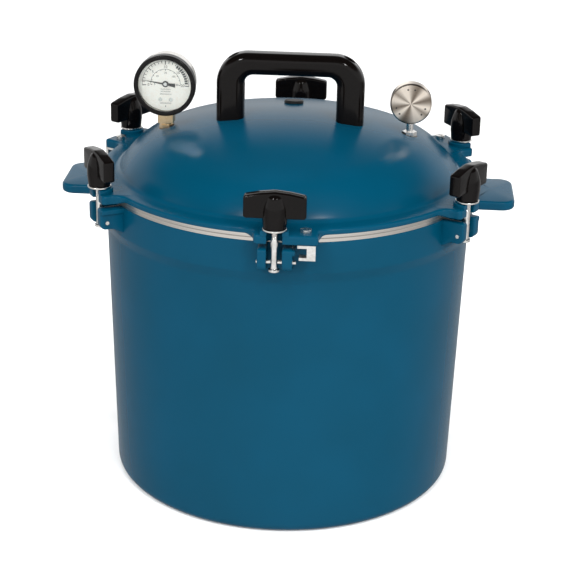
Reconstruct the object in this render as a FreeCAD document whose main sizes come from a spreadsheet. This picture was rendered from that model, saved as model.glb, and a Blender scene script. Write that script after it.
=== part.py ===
"""Pressure canner with a metal-to-metal lid seal and six swing-bolt clamps.

Millimetres, +Z up. The origin is the middle of the pot's bottom face, X runs along the side
handles and the top handle, and -Y is the front with the gauge and the weight facing it.
Clamp pieces are drawn at the front clamp, where +X is tangential and -Y points outwards,
and each copy is turned about the pot's axis.
"""
import FreeCAD, Part
import math
import os
import Sketcher

os.makedirs("parts", exist_ok=True)
doc = FreeCAD.newDocument("pressure_canner")
sheet = doc.addObject("Spreadsheet::Sheet", "Sizes")
V = FreeCAD.Vector
UP, ALONG = V(0, 0, 1), V(0, 1, 0)
TOUCH = 0.01


# ---------------------------------------------------------------- sizes and expressions

class Size:
    """A number together with the spreadsheet expression that it comes from."""

    def __init__(self, value, text):
        self.value = float(value)
        self.text = text

    def __add__(self, other):
        other = as_size(other)
        return Size(self.value + other.value, f"({self.text} + {other.text})")

    def __sub__(self, other):
        other = as_size(other)
        return Size(self.value - other.value, f"({self.text} - {other.text})")

    def __mul__(self, other):
        other = as_size(other)
        return Size(self.value * other.value, f"({self.text} * {other.text})")

    def __truediv__(self, other):
        other = as_size(other)
        return Size(self.value / other.value, f"({self.text} / {other.text})")

    def __radd__(self, other):
        return as_size(other) + self

    def __rsub__(self, other):
        return as_size(other) - self

    def __rmul__(self, other):
        return as_size(other) * self

    def __neg__(self):
        return Size(-self.value, f"(-1 * {self.text})")


def as_size(x):
    return x if isinstance(x, Size) else Size(x, repr(float(x)))


def root(x):
    return Size(math.sqrt(x.value), f"sqrt({x.text})")


row = 0


def size(name, value, note):
    """Write one driving dimension into the sheet and return it."""
    global row
    row += 1
    sheet.set(f"A{row}", name)
    sheet.set(f"B{row}", str(value))
    sheet.setAlias(f"B{row}", name)
    sheet.set(f"C{row}", note)
    return Size(value, f"Sizes.{name}")


def dome_height(r):
    """Height of the dome's outside at the radius r, on its crown."""
    return dome_top - crown_r + root(crown_r * crown_r - r * r)


# pot
body_r = size("body_radius", 161.0, "outside radius of the wall under the belt")
rim_z = size("rim_height", 275.0, "height of the joint between pot and lid")
pot_wall = size("pot_wall", 5.5, "wall of the pot")
floor_t = size("floor_thickness", 6.0, "floor of the pot")
bottom_r = body_r - size("wall_taper", 6.5, "how much narrower the pot is at its bottom")
bottom_round = size("bottom_round", 9.0, "outside rounding of the bottom corner")
inside_round = size("inside_round", 12.0, "inside rounding of the bottom corner")
belt_r = body_r + size("belt_proud", 3.0, "how far the belt stands out of the wall")
belt_top = rim_z - size("bare_band", 3.3, "bare machined band between belt and rim")
belt_low = belt_top - size("belt_height", 26.7, "height of the painted belt")
belt_blend = size("belt_blend", 9.0, "height of the hollow curve under the belt")
bare_r = belt_r - size("bare_step", 0.7, "step from the belt to the bare band")
seat_depth = size("seat_depth", 6.5, "height of the conical seat inside the rim")
seat_width = size("seat_width", 4.3, "radial width of the conical seat")
seal_gap = size("seal_gap", 0.2, "gap left at the metal-to-metal seat")

# lid
lid_t = size("lid_wall", 6.0, "wall of the lid dome")
crown_r = size("crown_radius", 450.0, "radius of the flat part of the dome")
shoulder_r = size("shoulder_radius", 65.0, "radius of the dome's shoulder curve")
shoulder_mid = body_r - size("shoulder_inset", 68.6, "centre of the shoulder curve inside the wall")
crown_edge = shoulder_mid * crown_r / (crown_r - shoulder_r)
dome_top = rim_z + size("dome_rise", 55.0, "height of the dome above the rim")
flange_low = rim_z + size("lid_bare_band", 3.6, "bare machined band under the lid flange")
flange_top = flange_low + size("flange_thickness", 5.0, "thickness of the painted flange")
flange_r = belt_r + size("flange_proud", 2.5, "how far the flange stands out over the belt")
flange_blend = size("flange_blend", 6.0, "hollow rounding between dome and flange")
lid_bare_r = flange_r - size("lid_bare_step", 1.7, "step from the flange to the bare band")
spigot_t = size("spigot_wall", 5.0, "wall of the ring that enters the pot")
ring_inset = size("ring_inset", 8.0, "how far the flange runs in under the dome")

# clamps
clamps = 6
bolt_circle = belt_r + size("bolt_standoff", 14.2, "clamp bolt axis outside the belt")
pin_z = rim_z - size("pin_drop", 14.6, "clamp hinge pins below the rim")
pin_d = size("pin_diameter", 3.2, "hinge pin")
pin_proud = size("pin_proud", 0.8, "how far a pin end stands out of its ear")
rod_d = size("rod_diameter", 6.4, "rod of a swing bolt")
rod_top = size("rod_length", 51.0, "rod of a swing bolt above its pin")
foot_d = rod_d + size("foot_step", 3.1, "how much wider a bolt's foot is than its rod")
foot_t = size("foot_thickness", 2.6, "thickness of the foot")
foot_drop = size("foot_drop", 8.2, "bottom of the foot below the pin")
foot_round = size("foot_round", 0.9, "edge rounding of the foot")
run_fit = size("running_fit", 0.1, "radial clearance of a turning fit")
slot_w = size("slot_width", 12.6, "width of a bolt slot in lugs and between ears")
lug_edge = size("lug_edge", 3.8, "lug and boss edge outside the bolt axis")
lug_low = rim_z + size("lug_lift", 1.2, "underside of the lid lugs above the rim")
lug_top = lug_low + size("lug_thickness", 7.8, "thickness of the lid lugs")
lug_half = size("lug_half_width", 17.0, "half width of a lug without a bracket")
lug_long = size("lug_long_side", 35.0, "width of a bracket lug on its bracket side")
lug_flare = size("lug_flare", 22.0, "extra width where a lug runs into the flange")
lug_bite = size("lug_bite", 2.0, "how deep a lug's sides start inside the flange")
lug_blend = size("lug_blend", 11.0, "hollow rounding at a lug's root")
lug_corner = size("lug_corner", 3.5, "rounding of a lug's outer corners")
boss_top = lug_top + size("boss_height", 3.2, "height of the raised C under a washer")
boss_r = size("boss_radius", 11.5, "radius of the raised C")
ear_top = rim_z - size("ear_step", 3.1, "top of the pot ears below the rim")
ear_low = pin_z - size("ear_drop", 6.9, "bottom of the pot ears below the pin")
ear_root = ear_low - size("ear_web", 7.5, "web where an ear runs down the pot")
ear_edge = size("ear_edge", 5.0, "ear edge outside the bolt axis")
ear_t1 = size("ear_plain_thickness", 7.3, "clockwise ear of a pair")
ear_t2 = size("ear_ledge_thickness", 8.4, "ear with the ledge, under the ledge")
ear_corner = size("ear_corner", 5.0, "rounding of an ear's lower outer corner")
ear_hollow = size("ear_hollow", 8.0, "hollow rounding where an ear's web starts")
ear_foot = size("ear_foot", 13.0, "length of an ear's level underside from the wall")
ledge_out = size("ledge_reach", 2.0, "how far the ledge stands out of its ear")
ledge_t = size("ledge_thickness", 5.0, "thickness of the ledge")
ledge_drop = size("ledge_drop", 0.6, "ledge inside the ear's top and end")
washer_d = size("washer_diameter", 20.0, "washer under a knob")
washer_t = size("washer_thickness", 1.5, "thickness of the washer")
washer_round = size("washer_round", 0.4, "edge rounding of the washer")
washer_gap = size("washer_gap", 0.5, "washer above the boss with the knob slackened")
washer_play = size("washer_play", 0.35, "washer bore round the rod, radial")
knob_gap = size("knob_gap", 0.15, "knob above its washer")

# wing knobs
wing_span = size("wing_span", 50.0, "length across the wings")
wing_t = size("wing_thickness", 9.6, "thickness of the wings")
wing_low = size("wing_low", 8.4, "underside of the wings above the knob's foot")
wing_end = size("wing_end_top", 26.6, "top of the wings at their ends")
wing_mid = wing_end + size("wing_crown", 3.8, "rise of the wings from their ends to the middle")
wing_corner = size("wing_corner", 1.2, "corner rounding of the wings")
wing_sweep = size("wing_sweep", 30.0, "long rounding along the top of a wing")
wing_brow = size("wing_brow", 12.0, "rounding of the wings' top in the middle")
wing_round = size("wing_round", 1.6, "edge rounding of the wings")
hub_r = size("hub_radius", 9.3, "radius of the hub at its foot")
hub_bulge = size("hub_bulge_radius", 10.2, "radius of the hub in the wings")
hub_dome = size("hub_dome_low", 16.5, "where the hub starts to close in")
hub_crown = size("hub_crown", 6.3, "radius of the hub's flat top")
hub_step = size("hub_step", 1.5, "hub's top below the wings' top")
insert_r = rod_d / 2 + size("insert_wall", 2.2, "wall of the threaded insert")
insert_len = size("insert_length", 20.0, "length of the threaded insert")
rod_room = size("rod_room", 3.0, "blind hole above the rod's end")
rod_play = size("rod_play", 0.3, "blind hole round the rod, radial")

# stop brackets
bracket_t = size("bracket_thickness", 2.4, "sheet of the brackets")
bracket_w = size("bracket_width", 7.0, "width of a bracket's leg")
bracket_play = size("bracket_play", 0.9, "bracket's foot under the level of the ledge")
bracket_low = ear_top - ledge_t - bracket_play - bracket_t
bracket_foot = size("bracket_foot", 6.2, "reach of the foot towards the ledge")
bracket_deep = size("bracket_foot_depth", 8.0, "depth of the foot")
bracket_x = size("bracket_outer", 33.0, "outer edge of the leg from the bolt axis")
bracket_pad = size("bracket_pad", 6.0, "bracket round its screw")
screw_x = size("bracket_screw_offset", 24.5, "bracket screw from the bolt axis")
screw_in = size("bracket_screw_inset", 7.5, "bracket screw inside the bolt circle")
screw_d = size("bracket_screw_diameter", 4.8, "thread of a bracket screw")
screw_end = size("bracket_screw_end", 1.5, "screw end below the bracket")
screw_head_d = size("bracket_screw_head", 9.0, "head of a bracket screw")
screw_head_t = size("bracket_screw_head_height", 2.6, "height of that head")
driver_w = size("driver_slot_width", 1.2, "width of the screwdriver slot")
driver_deep = size("driver_slot_depth", 1.1, "depth of the screwdriver slot")

# top handle
handle_half = size("handle_half_length", 64.5, "outer face of a handle leg")
handle_gap = handle_half - size("handle_leg", 24.2, "width of a handle leg")
handle_top = dome_top + size("handle_height", 56.0, "top of the handle above the dome's top")
bar_low = handle_top - size("grip_thickness", 19.0, "thickness of the grip")
handle_w = size("handle_width", 22.0, "width of the handle across")
handle_round = size("handle_round", 7.0, "edge rounding of the handle")
handle_outer = size("handle_outer_corner", 27.0, "outer corner of the handle")
handle_inner = size("handle_inner_corner", 8.0, "inner corner of the handle")
leg_spare = size("leg_spare", 16.0, "leg drawn below the dome's top before it is cut to it")
handle_screw_x = handle_half - size("handle_screw_inset", 14.0, "handle screws inside a leg's face")
handle_screw_d = size("handle_screw_diameter", 5.0, "thread of the handle screws")
handle_seat = dome_top + size("handle_screw_seat", 14.0, "screw heads' seat above the dome's top")
handle_bore = size("handle_counterbore", 10.0, "counterbore for a screw head")
handle_head_t = size("handle_head_height", 3.6, "height of a screw head")
head_play = size("handle_head_play", 0.5, "screw head inside its counterbore")
shank_play = size("handle_shank_play", 0.3, "screw shank inside the handle's hole")
thread_in = size("thread_depth", 9.0, "thread that enters the lid")
thread_spare = size("thread_spare", 0.5, "blind hole below a screw's end")
pad_under = size("pad_under", 4.0, "thickness of a lid boss below a blind thread")
pad_r = size("pad_radius", 8.0, "radius of the lid boss under a handle screw")

# side handles
tab_reach = belt_r + size("tab_length", 35.0, "side handle outside the belt")
tab_half = size("tab_half_width", 34.0, "half width of the side handles")
tab_top = rim_z - size("tab_step", 5.5, "top face of the side handles below the rim")
tab_t = size("tab_thickness", 8.2, "thickness of the side handles")
tab_corner = size("tab_corner", 12.0, "corner rounding of the side handles")
tab_edge = size("tab_edge_round", 2.0, "edge rounding of the side handles")
tab_root = size("tab_root", 12.0, "side handle drawn inside the pot's mouth before it is cut")

# fittings on the dome
hex_af = size("hex_across_flats", 11.0, "hexagons of vent pipe and gauge stem")
hex_t = size("hex_height", 5.0, "height of those hexagons")
spot_r = size("spot_face_radius", 7.0, "machined spot face round a fitting")
spot_deep = size("spot_face_depth", 1.0, "spot face below the dome at its outer edge")
fitting_pad = size("fitting_pad_radius", 9.0, "radius of the inside boss under a fitting")
thread_tail = size("thread_tail", 5.0, "fitting's thread below its boss")
fitting_round = size("fitting_round", 0.5, "lead-in rounding of a fitting's thread")

# gauge
gauge_x = crown_edge + size("gauge_outset", 1.0, "gauge stem outside the crown's edge")
gauge_spot = dome_height(gauge_x + spot_r) - spot_deep
block_low = gauge_spot + hex_t + size("stem_collar", 2.2, "round collar between hexagon and block")
gauge_z = block_low + size("gauge_lift", 35.2, "middle of the dial above the block's underside")
bezel_r = size("bezel_radius", 27.0, "outside radius of the gauge bezel")
bezel_in = bezel_r - size("bezel_face", 4.0, "width of the bezel's face")
bezel_len = size("bezel_length", 8.5, "depth of the bezel ring")
bezel_lip = size("bezel_lip", 2.0, "bezel's front face ahead of the lens")
bezel_rim = size("bezel_rim", 1.8, "thickness of the bezel's face")
case_r = bezel_r - size("bezel_wall", 1.4, "wall of the bezel outside the case")
case_len = size("case_length", 21.0, "depth of the gauge case")
case_t = size("case_wall", 1.2, "wall of the gauge case")
case_front = size("case_front", 10.0, "case front ahead of the stem")
lens_t = size("lens_thickness", 1.8, "thickness of the lens")
lens_gap = size("lens_gap", 0.2, "lens ahead of the case")
glass_play = size("lens_play", 0.2, "lens inside the bezel, radial")
dial_t = size("dial_thickness", 0.8, "thickness of the dial plate")
dial_back = size("dial_setback", 4.4, "dial face behind the case front")
dial_play = size("dial_play", 0.3, "dial plate inside the case, radial")
dial_screw_x = size("dial_screw_offset", 4.6, "dial screws from the middle line")
dial_screw_z = size("dial_screw_drop", 14.0, "dial screws below the pointer")
dial_screw_r = size("dial_screw_radius", 0.9, "thread of a dial screw")
dial_head_r = size("dial_screw_head_radius", 1.7, "head of a dial screw")
dial_head_t = size("dial_screw_head", 0.8, "height of that head")
plate_drop = size("movement_setback", 4.0, "movement plate behind the dial plate")
plate_t = size("movement_thickness", 2.0, "thickness of the movement plate")
plate_half = size("movement_half_width", 10.0, "half width of the movement plate")
plate_low = size("movement_low", 17.6, "movement plate below the pointer")
plate_top = size("movement_top", 9.0, "movement plate above the pointer")
post_r = size("movement_post_radius", 1.4, "post between movement and dial")
pointer_len = size("pointer_length", 20.0, "pointer from its axis to its tip")
pointer_tail = size("pointer_tail", 8.5, "pointer's counterweight length")
pointer_w = size("pointer_width", 1.3, "width of the pointer's arm")
tail_half = size("pointer_tail_half", 1.7, "half width of the counterweight's end")
pointer_hub = size("pointer_hub_radius", 2.7, "radius of the pointer's hub")
hub_t = size("pointer_hub_thickness", 1.3, "thickness of that hub")
pointer_t = size("pointer_thickness", 0.6, "thickness of the pointer")
pointer_gap = size("pointer_gap", 0.6, "pointer ahead of the dial")
pointer_lift = size("pointer_rest_slope", 0.1405, "rise of the resting pointer per length")
arbor_r = size("arbor_radius", 1.0, "radius of the pointer's arbor")
arbor_len = size("arbor_length", 7.0, "arbor behind the pointer")
arbor_play = size("arbor_play", 0.5, "hole in the dial round the arbor, radial")
tube_in = size("tube_inset", 7.0, "middle of the pressure tube inside the case")
tube_half = size("tube_half_thickness", 1.2, "half thickness of the pressure tube")
tube_gap = size("tube_gap", 1.5, "pressure tube ahead of the case's back")
tube_front = size("tube_front", 5.2, "pressure tube behind the dial plate")
block_w = size("stem_block_width", 14.0, "square brass block under the gauge")
block_gap = size("stem_block_gap", 0.4, "block below the bezel")
block_corner = size("stem_block_corner", 0.8, "edge rounding of the block")
neck_r = size("stem_neck_radius", 4.6, "neck that enters the case")
neck_play = size("stem_neck_play", 0.2, "hole in the case round the neck, radial")
nipple_r = size("stem_nipple_radius", 4.7, "threaded nipple of the stem")

# vent pipe, weight and plug
vent_x = crown_edge - size("vent_inset", 3.0, "vent pipe inside the crown's edge")
vent_spot = dome_height(vent_x + spot_r) - size("vent_spot_depth", 0.6, "vent pipe's spot face")
vent_r = size("vent_radius", 3.0, "vent pipe")
vent_bore = size("vent_bore_radius", 1.5, "bore of the vent pipe")
vent_thread = size("vent_thread_radius", 4.4, "thread of the vent pipe")
vent_tip = size("vent_tip_round", 0.8, "rounding of the vent pipe's end")
weight_r = size("weight_radius", 18.0, "radius of the regulator weight")
weight_t = size("weight_thickness", 12.0, "thickness of the regulator weight")
weight_low = vent_spot + hex_t + size("weight_clear", 7.76, "weight above the vent pipe's hexagon")
weight_z = weight_low + weight_r
weight_chamfer = size("weight_chamfer", 1.2, "edge bevel of the weight")
weight_hole = size("weight_hole_radius", 3.3, "radial holes of the weight")
weight_deep = size("weight_hole_depth", 10.0, "depth of those holes")
weight_rest = size("weight_rest_gap", 0.3, "weight above the end of the vent pipe")
plug_y = size("plug_offset", 55.0, "overpressure plug behind the middle")
plug_r = size("plug_radius", 6.5, "stem of the overpressure plug")
plug_head_r = plug_r + size("plug_brim", 2.2, "brim of the plug's head")
plug_head_t = size("plug_head_thickness", 2.4, "height of that head")
plug_head_round = size("plug_head_round", 1.0, "edge rounding of that head")
plug_len = size("plug_length", 9.5, "stem of the plug below its head")
plug_play = size("plug_play", 0.25, "radial room round the plug, and under its head")
plug_tip = size("plug_tip_round", 1.5, "rounding of the stem's end")

# rack
rack_play = size("rack_play", 1.5, "rack inside the flat floor")
rack_high = size("rack_height", 16.0, "height of the rack")
rack_t = size("rack_thickness", 2.0, "sheet of the rack")
rack_hole = size("rack_hole_radius", 6.0, "holes of the rack")
rack_lift = size("rack_floor_gap", 0.1, "rack above the floor")
rack_rings = 4
doc.recompute()


# ---------------------------------------------------------------- drawing helpers

def bind(obj, **values):
    """Set properties of an object from sizes, with expressions."""
    for name, value in values.items():
        value = as_size(value)
        setattr(obj, name, value.value)
        obj.setExpression(name, value.text)


def place(obj, x=0, y=0, z=0, axis=UP, angle=0):
    """Place an object or a primitive feature; x, y and z may be sizes."""
    x, y, z, angle = as_size(x), as_size(y), as_size(z), as_size(angle)
    turn = FreeCAD.Rotation(axis, angle.value)
    obj.Placement = FreeCAD.Placement(V(x.value, y.value, z.value), turn)
    for part, value in (("Base.x", x), ("Base.y", y), ("Base.z", z), ("Rotation.Angle", angle)):
        if "Sizes" in value.text:
            obj.setExpression(f"Placement.{part}", value.text)


def new_body(label):
    body = doc.addObject("PartDesign::Body", label)
    body.Label = label
    return body


def clamp_body(label, number):
    """A body drawn round its bolt's own axis and placed at clamp number 1 to 6."""
    body = new_body(label)
    turn = (number - 1) * 360 / clamps
    along, out = math.sin(math.radians(turn)), math.cos(math.radians(turn))
    place(body, bolt_circle * along, bolt_circle * -out, 0, UP, turn)
    return body


def new_sketch(body, plane, z=None):
    """A sketch on one of the body's own origin planes, lifted by z along its normal."""
    sketch = body.newObject("Sketcher::SketchObject", "sketch")
    support = [f for f in body.Origin.OriginFeatures if f.Role == plane][0]
    sketch.AttachmentSupport = [(support, "")]
    sketch.MapMode = "FlatFace"
    if z is not None:
        z = as_size(z)
        sketch.AttachmentOffset = FreeCAD.Placement(V(0, 0, z.value), FreeCAD.Rotation())
        sketch.setExpression("AttachmentOffset.Base.z", z.text)
    return sketch


def hold(sketch, element, point, x, y):
    """Fix a point of a sketch at the sizes x and y."""
    for kind, value, axis in (("DistanceX", as_size(x), -2), ("DistanceY", as_size(y), -1)):
        if value.text == "0.0":
            sketch.addConstraint(Sketcher.Constraint("PointOnObject", element, point, axis))
            continue
        number = sketch.addConstraint(
            Sketcher.Constraint(kind, -1, 1, element, point, value.value))
        sketch.setExpression(f"Constraints[{number}]", value.text)


def circle(sketch, x, y, radius):
    radius = as_size(radius)
    x, y = as_size(x), as_size(y)
    number = sketch.addGeometry(Part.Circle(V(x.value, y.value, 0), UP, radius.value))
    hold(sketch, number, 3, x, y)
    rule = sketch.addConstraint(Sketcher.Constraint("Radius", number, radius.value))
    sketch.setExpression(f"Constraints[{rule}]", radius.text)


def outline(sketch, corners):
    """A closed outline. A corner is (x, y) or (x, y, rounding), each a size or a number."""
    corners = [tuple(as_size(part) for part in corner) for corner in corners]
    points = [V(c[0].value, c[1].value, 0) for c in corners]
    count = len(corners)
    starts, ends, arcs = [], [], []
    for i, corner in enumerate(corners):
        start = end = points[i]
        arc = None
        if len(corner) == 3:
            before = (points[i - 1] - points[i]).normalize()
            after = (points[(i + 1) % count] - points[i]).normalize()
            half = before.getAngle(after) / 2
            reach = corner[2].value / math.tan(half)
            start, end = points[i] + before * reach, points[i] + after * reach
            middle = points[i] + (before + after).normalize() * (corner[2].value / math.sin(half))
            arc = (middle, start, end, corner[2])
        starts.append(start)
        ends.append(end)
        arcs.append(arc)
    lines = [sketch.addGeometry(Part.LineSegment(ends[i], starts[(i + 1) % count]))
             for i in range(count)]
    for i, corner in enumerate(corners):
        if arcs[i] is None:
            sketch.addConstraint(Sketcher.Constraint("Coincident", lines[i - 1], 2, lines[i], 1))
            hold(sketch, lines[i], 1, corner[0], corner[1])
            continue
        middle, start, end, rounding = arcs[i]
        from_centre = start - middle
        to_centre = end - middle
        turn = from_centre.cross(to_centre).z
        inner = (middle - points[i]).normalize() * -rounding.value + middle
        number = sketch.addGeometry(Part.Arc(start, inner, end))
        first, last = (1, 2) if turn > 0 else (2, 1)
        sketch.addConstraint(Sketcher.Constraint("Tangent", lines[i - 1], 2, number, first))
        sketch.addConstraint(Sketcher.Constraint("Tangent", number, last, lines[i], 1))
        rule = sketch.addConstraint(Sketcher.Constraint("Radius", number, rounding.value))
        sketch.setExpression(f"Constraints[{rule}]", rounding.text)
        mark = sketch.addGeometry(Part.Point(points[i]), True)
        sketch.addConstraint(Sketcher.Constraint("PointOnObject", mark, 1, lines[i - 1]))
        sketch.addConstraint(Sketcher.Constraint("PointOnObject", mark, 1, lines[i]))
        hold(sketch, mark, 1, corner[0], corner[1])


def revolve(body, corners, cut=False, angle=360, plane="XZ_Plane"):
    """Turn an outline about the body's vertical axis."""
    sketch = new_sketch(body, plane)
    outline(sketch, corners)
    kind = "PartDesign::Groove" if cut else "PartDesign::Revolution"
    feature = body.newObject(kind, "turned")
    feature.Profile = sketch
    feature.ReferenceAxis = (sketch, ["V_Axis"])
    feature.Angle = angle
    return feature


def pad(body, plane, base, height, corners=None, round_at=None, both=False, cut=False):
    """Pad or pocket an outline, or a circle given as (x, y, radius), from base by height."""
    sketch = new_sketch(body, plane, base)
    if corners:
        outline(sketch, corners)
    if round_at:
        circle(sketch, *round_at)
    feature = body.newObject("PartDesign::Pocket" if cut else "PartDesign::Pad", "padded")
    feature.Profile = sketch
    bind(feature, Length=height)
    feature.Midplane = both
    if cut:
        feature.Reversed = not both
    return feature


def polar(body, feature, count):
    """Repeat a feature round the body's vertical axis."""
    pattern = body.newObject("PartDesign::PolarPattern", "round")
    pattern.Originals = [feature]
    pattern.Axis = ([f for f in body.Origin.OriginFeatures if f.Role == "Z_Axis"][0], [""])
    pattern.Angle = 360
    pattern.Occurrences = count
    body.Tip = pattern
    return pattern


def cylinder(body, cut, x, y, z, radius, height, axis=UP, angle=0):
    """An upright or turned round boss or hole."""
    kind = "PartDesign::SubtractiveCylinder" if cut else "PartDesign::AdditiveCylinder"
    feature = body.newObject(kind, "round")
    bind(feature, Radius=radius, Height=height)
    place(feature, x, y, z, axis, angle)
    return feature


def soften(body, radius, wanted):
    """Fillet the edges of the body's tip that the test picks."""
    doc.recompute()
    tip = body.Tip
    names = [f"Edge{i + 1}" for i, edge in enumerate(tip.Shape.Edges) if wanted(edge)]
    fillet = body.newObject("PartDesign::Fillet", "rounded")
    fillet.Base = (tip, names)
    bind(fillet, Radius=radius)
    return fillet


def dome_outline(sketch, inset, low):
    """The dome's half section down to the height low: crown arc, then shoulder arc."""
    inset, low = as_size(inset), as_size(low)
    crown, shoulder = crown_r - inset, shoulder_r - inset
    middle = dome_top - crown_r
    lean = math.asin(crown_edge.value / crown_r.value)
    slope = V(math.sin(lean), math.cos(lean), 0)
    crown_middle = V(0, middle.value, 0)
    shoulder_middle = crown_middle + slope * (crown_r - shoulder_r).value
    joint = crown_middle + slope * crown.value
    drop = shoulder_middle.y - low.value
    foot = V(shoulder_middle.x + math.sqrt(shoulder.value ** 2 - drop ** 2), low.value, 0)
    halfway = (lean + math.acos(-drop / shoulder.value)) / 2
    bulge = shoulder_middle + V(math.sin(halfway), math.cos(halfway), 0) * shoulder.value
    top = V(0, (middle + crown).value, 0)
    over = crown_middle + V(math.sin(lean / 2), math.cos(lean / 2), 0) * crown.value
    axis = sketch.addGeometry(Part.LineSegment(V(0, low.value, 0), top))
    cap = sketch.addGeometry(Part.Arc(top, over, joint))
    side = sketch.addGeometry(Part.Arc(joint, bulge, foot))
    base = sketch.addGeometry(Part.LineSegment(foot, V(0, low.value, 0)))
    hold(sketch, cap, 3, 0, middle)
    hold(sketch, axis, 1, 0, low)
    for first, end, second, start in ((axis, 2, cap, 2), (side, 1, base, 1), (base, 2, axis, 1)):
        sketch.addConstraint(Sketcher.Constraint("Coincident", first, end, second, start))
    sketch.addConstraint(Sketcher.Constraint("Vertical", axis))
    sketch.addConstraint(Sketcher.Constraint("Horizontal", base))
    sketch.addConstraint(Sketcher.Constraint("Tangent", cap, 1, side, 2))
    for arc, radius in ((cap, crown), (side, shoulder)):
        rule = sketch.addConstraint(Sketcher.Constraint("Radius", arc, radius.value))
        sketch.setExpression(f"Constraints[{rule}]", radius.text)
    reach = crown_edge * crown / crown_r
    rule = sketch.addConstraint(Sketcher.Constraint("DistanceX", -1, 1, cap, 1, reach.value))
    sketch.setExpression(f"Constraints[{rule}]", reach.text)


def revolve_dome(body, inset, low, cut):
    sketch = new_sketch(body, "XZ_Plane")
    dome_outline(sketch, inset, low)
    feature = body.newObject("PartDesign::Groove" if cut else "PartDesign::Revolution", "dome")
    feature.Profile = sketch
    feature.ReferenceAxis = (sketch, ["V_Axis"])
    feature.Angle = 360
    return feature


# values that several pieces share
cut_spare = 2.0
mouth = body_r - pot_wall
pot_rim = rim_z - seal_gap / 2
lid_rim = rim_z + seal_gap / 2
half_slot = slot_w / 2
lug_out = bolt_circle + lug_edge
rod_r = rod_d / 2
pin_r = pin_d / 2
washer_z = boss_top + washer_gap
knob_z = washer_z + washer_t + knob_gap
ledge_x = half_slot + ear_t2 + ledge_out
bracket_y = -lug_out
screw_y = -(bolt_circle - screw_in)
lens_front = lens_gap + lens_t
dial_low = -dial_back - dial_t
plate_z = dial_low - plate_drop
tube_r = case_r - case_t - tube_in
pipe_top = weight_low + weight_deep - weight_rest
plug_lean = Size(math.degrees(math.asin(plug_y.value / crown_r.value)),
                 f"asin({plug_y.text} / {crown_r.text})")


# ---------------------------------------------------------------- pot

def make_pot():
    """The cast pot: wall, belt, rim with its conical seat, six pairs of ears, two side tabs."""
    body = new_body("pot_body")
    revolve(body, [
        (0, 0), (bottom_r, 0, bottom_round), (body_r, belt_low - belt_blend, belt_blend),
        (belt_r, belt_low, belt_blend / 2), (belt_r, belt_top), (bare_r, belt_top),
        (bare_r, pot_rim), (mouth + seat_width, pot_rim), (mouth, pot_rim - seat_depth),
        (bottom_r - pot_wall, floor_t, inside_round), (0, floor_t)])
    foot = body_r - pot_wall / 2
    ear_out = bolt_circle + ear_edge
    side = [(-ear_out, ear_top, ear_corner / 2), (-ear_out, ear_low, ear_corner),
            (-(foot + ear_foot), ear_low, ear_hollow), (-foot, ear_root), (-foot, ear_top)]
    for low, thickness in ((-(half_slot + ear_t1), ear_t1), (half_slot, ear_t2)):
        ear = pad(body, "YZ_Plane", low, thickness, side)
        polar(body, ear, clamps)
    ledge_end = -ear_out + ledge_drop
    ledge = pad(body, "YZ_Plane", half_slot, ear_t2 + ledge_out, [
        (ledge_end, ear_top - ledge_drop), (ledge_end, ear_top - ledge_t),
        (-foot, ear_top - ledge_t), (-foot, ear_top - ledge_drop)])
    polar(body, ledge, clamps)
    pin_hole = cylinder(body, True, -(half_slot + ear_t1 + cut_spare), -bolt_circle, pin_z, pin_r,
                        half_slot + ear_t1 + ledge_x + 2 * cut_spare, ALONG, 90)
    polar(body, pin_hole, clamps)
    for sign in (1, -1):
        inside = sign * (mouth - tab_root)
        pad(body, "XY_Plane", tab_top - tab_t, tab_t, [
            (inside, tab_half), (tab_reach * sign, tab_half, tab_corner),
            (tab_reach * sign, -tab_half, tab_corner), (inside, -tab_half)])
    soften(body, tab_edge, is_tab_edge)
    straight = floor_t + inside_round
    body.Tip = revolve(body, [
        (0, straight), (bottom_r - pot_wall, straight), (mouth, pot_rim - seat_depth),
        (mouth + seat_width, pot_rim), (mouth + seat_width, pot_rim + cut_spare),
        (0, pot_rim + cut_spare)], cut=True)


def is_tab_edge(edge):
    """An edge round the top or the underside of a side handle, clear of the pot's wall."""
    box = edge.BoundBox
    level = box.ZMax - box.ZMin < TOUCH
    at_face = min(abs(box.ZMin - tab_top.value), abs(box.ZMin - (tab_top - tab_t).value)) < TOUCH
    outside = max(abs(box.XMin), abs(box.XMax)) > belt_r.value + tab_edge.value
    return level and at_face and outside and abs(box.YMin) <= tab_half.value + TOUCH


def make_hinge_pins():
    """The six hinge pins, pressed through the ears."""
    body = new_body("hinge_pins")
    start = half_slot + ear_t1 + pin_proud
    pin = cylinder(body, False, -start, -bolt_circle, pin_z, pin_r, start + ledge_x + pin_proud,
                   ALONG, 90)
    polar(body, pin, clamps)


def make_rack():
    """The perforated rack that keeps jars off the pot's floor."""
    body = new_body("rack")
    radius = bottom_r - pot_wall - inside_round - rack_play
    low = floor_t + rack_lift
    top = low + rack_high
    revolve(body, [(0, top - rack_t), (radius - rack_t, top - rack_t), (radius - rack_t, low),
                   (radius, low), (radius, top, rack_t / 2), (0, top)])
    rim_share = 0.6
    for ring in range(1, rack_rings + 1):
        distance = (radius - rack_hole) * (ring / (rack_rings + rim_share))
        hole = cylinder(body, True, distance, 0, top - rack_t - cut_spare, rack_hole,
                        rack_t + 2 * cut_spare)
        polar(body, hole, 6 * ring)


# ---------------------------------------------------------------- clamps

def make_swing_bolt(number):
    """A clamp bolt: a rod with a round foot, turning on its hinge pin."""
    body = clamp_body(f"swing_bolt_{number}", number)
    low, top = pin_z - foot_drop, pin_z + rod_top
    revolve(body, [(0, low), (foot_d / 2, low, foot_round), (foot_d / 2, low + foot_t, foot_round),
                   (rod_r, low + foot_t), (rod_r, top, 0.6), (0, top)])
    body.Tip = cylinder(body, True, -foot_d, 0, pin_z, pin_r + run_fit, foot_d * 2, ALONG, 90)


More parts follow.
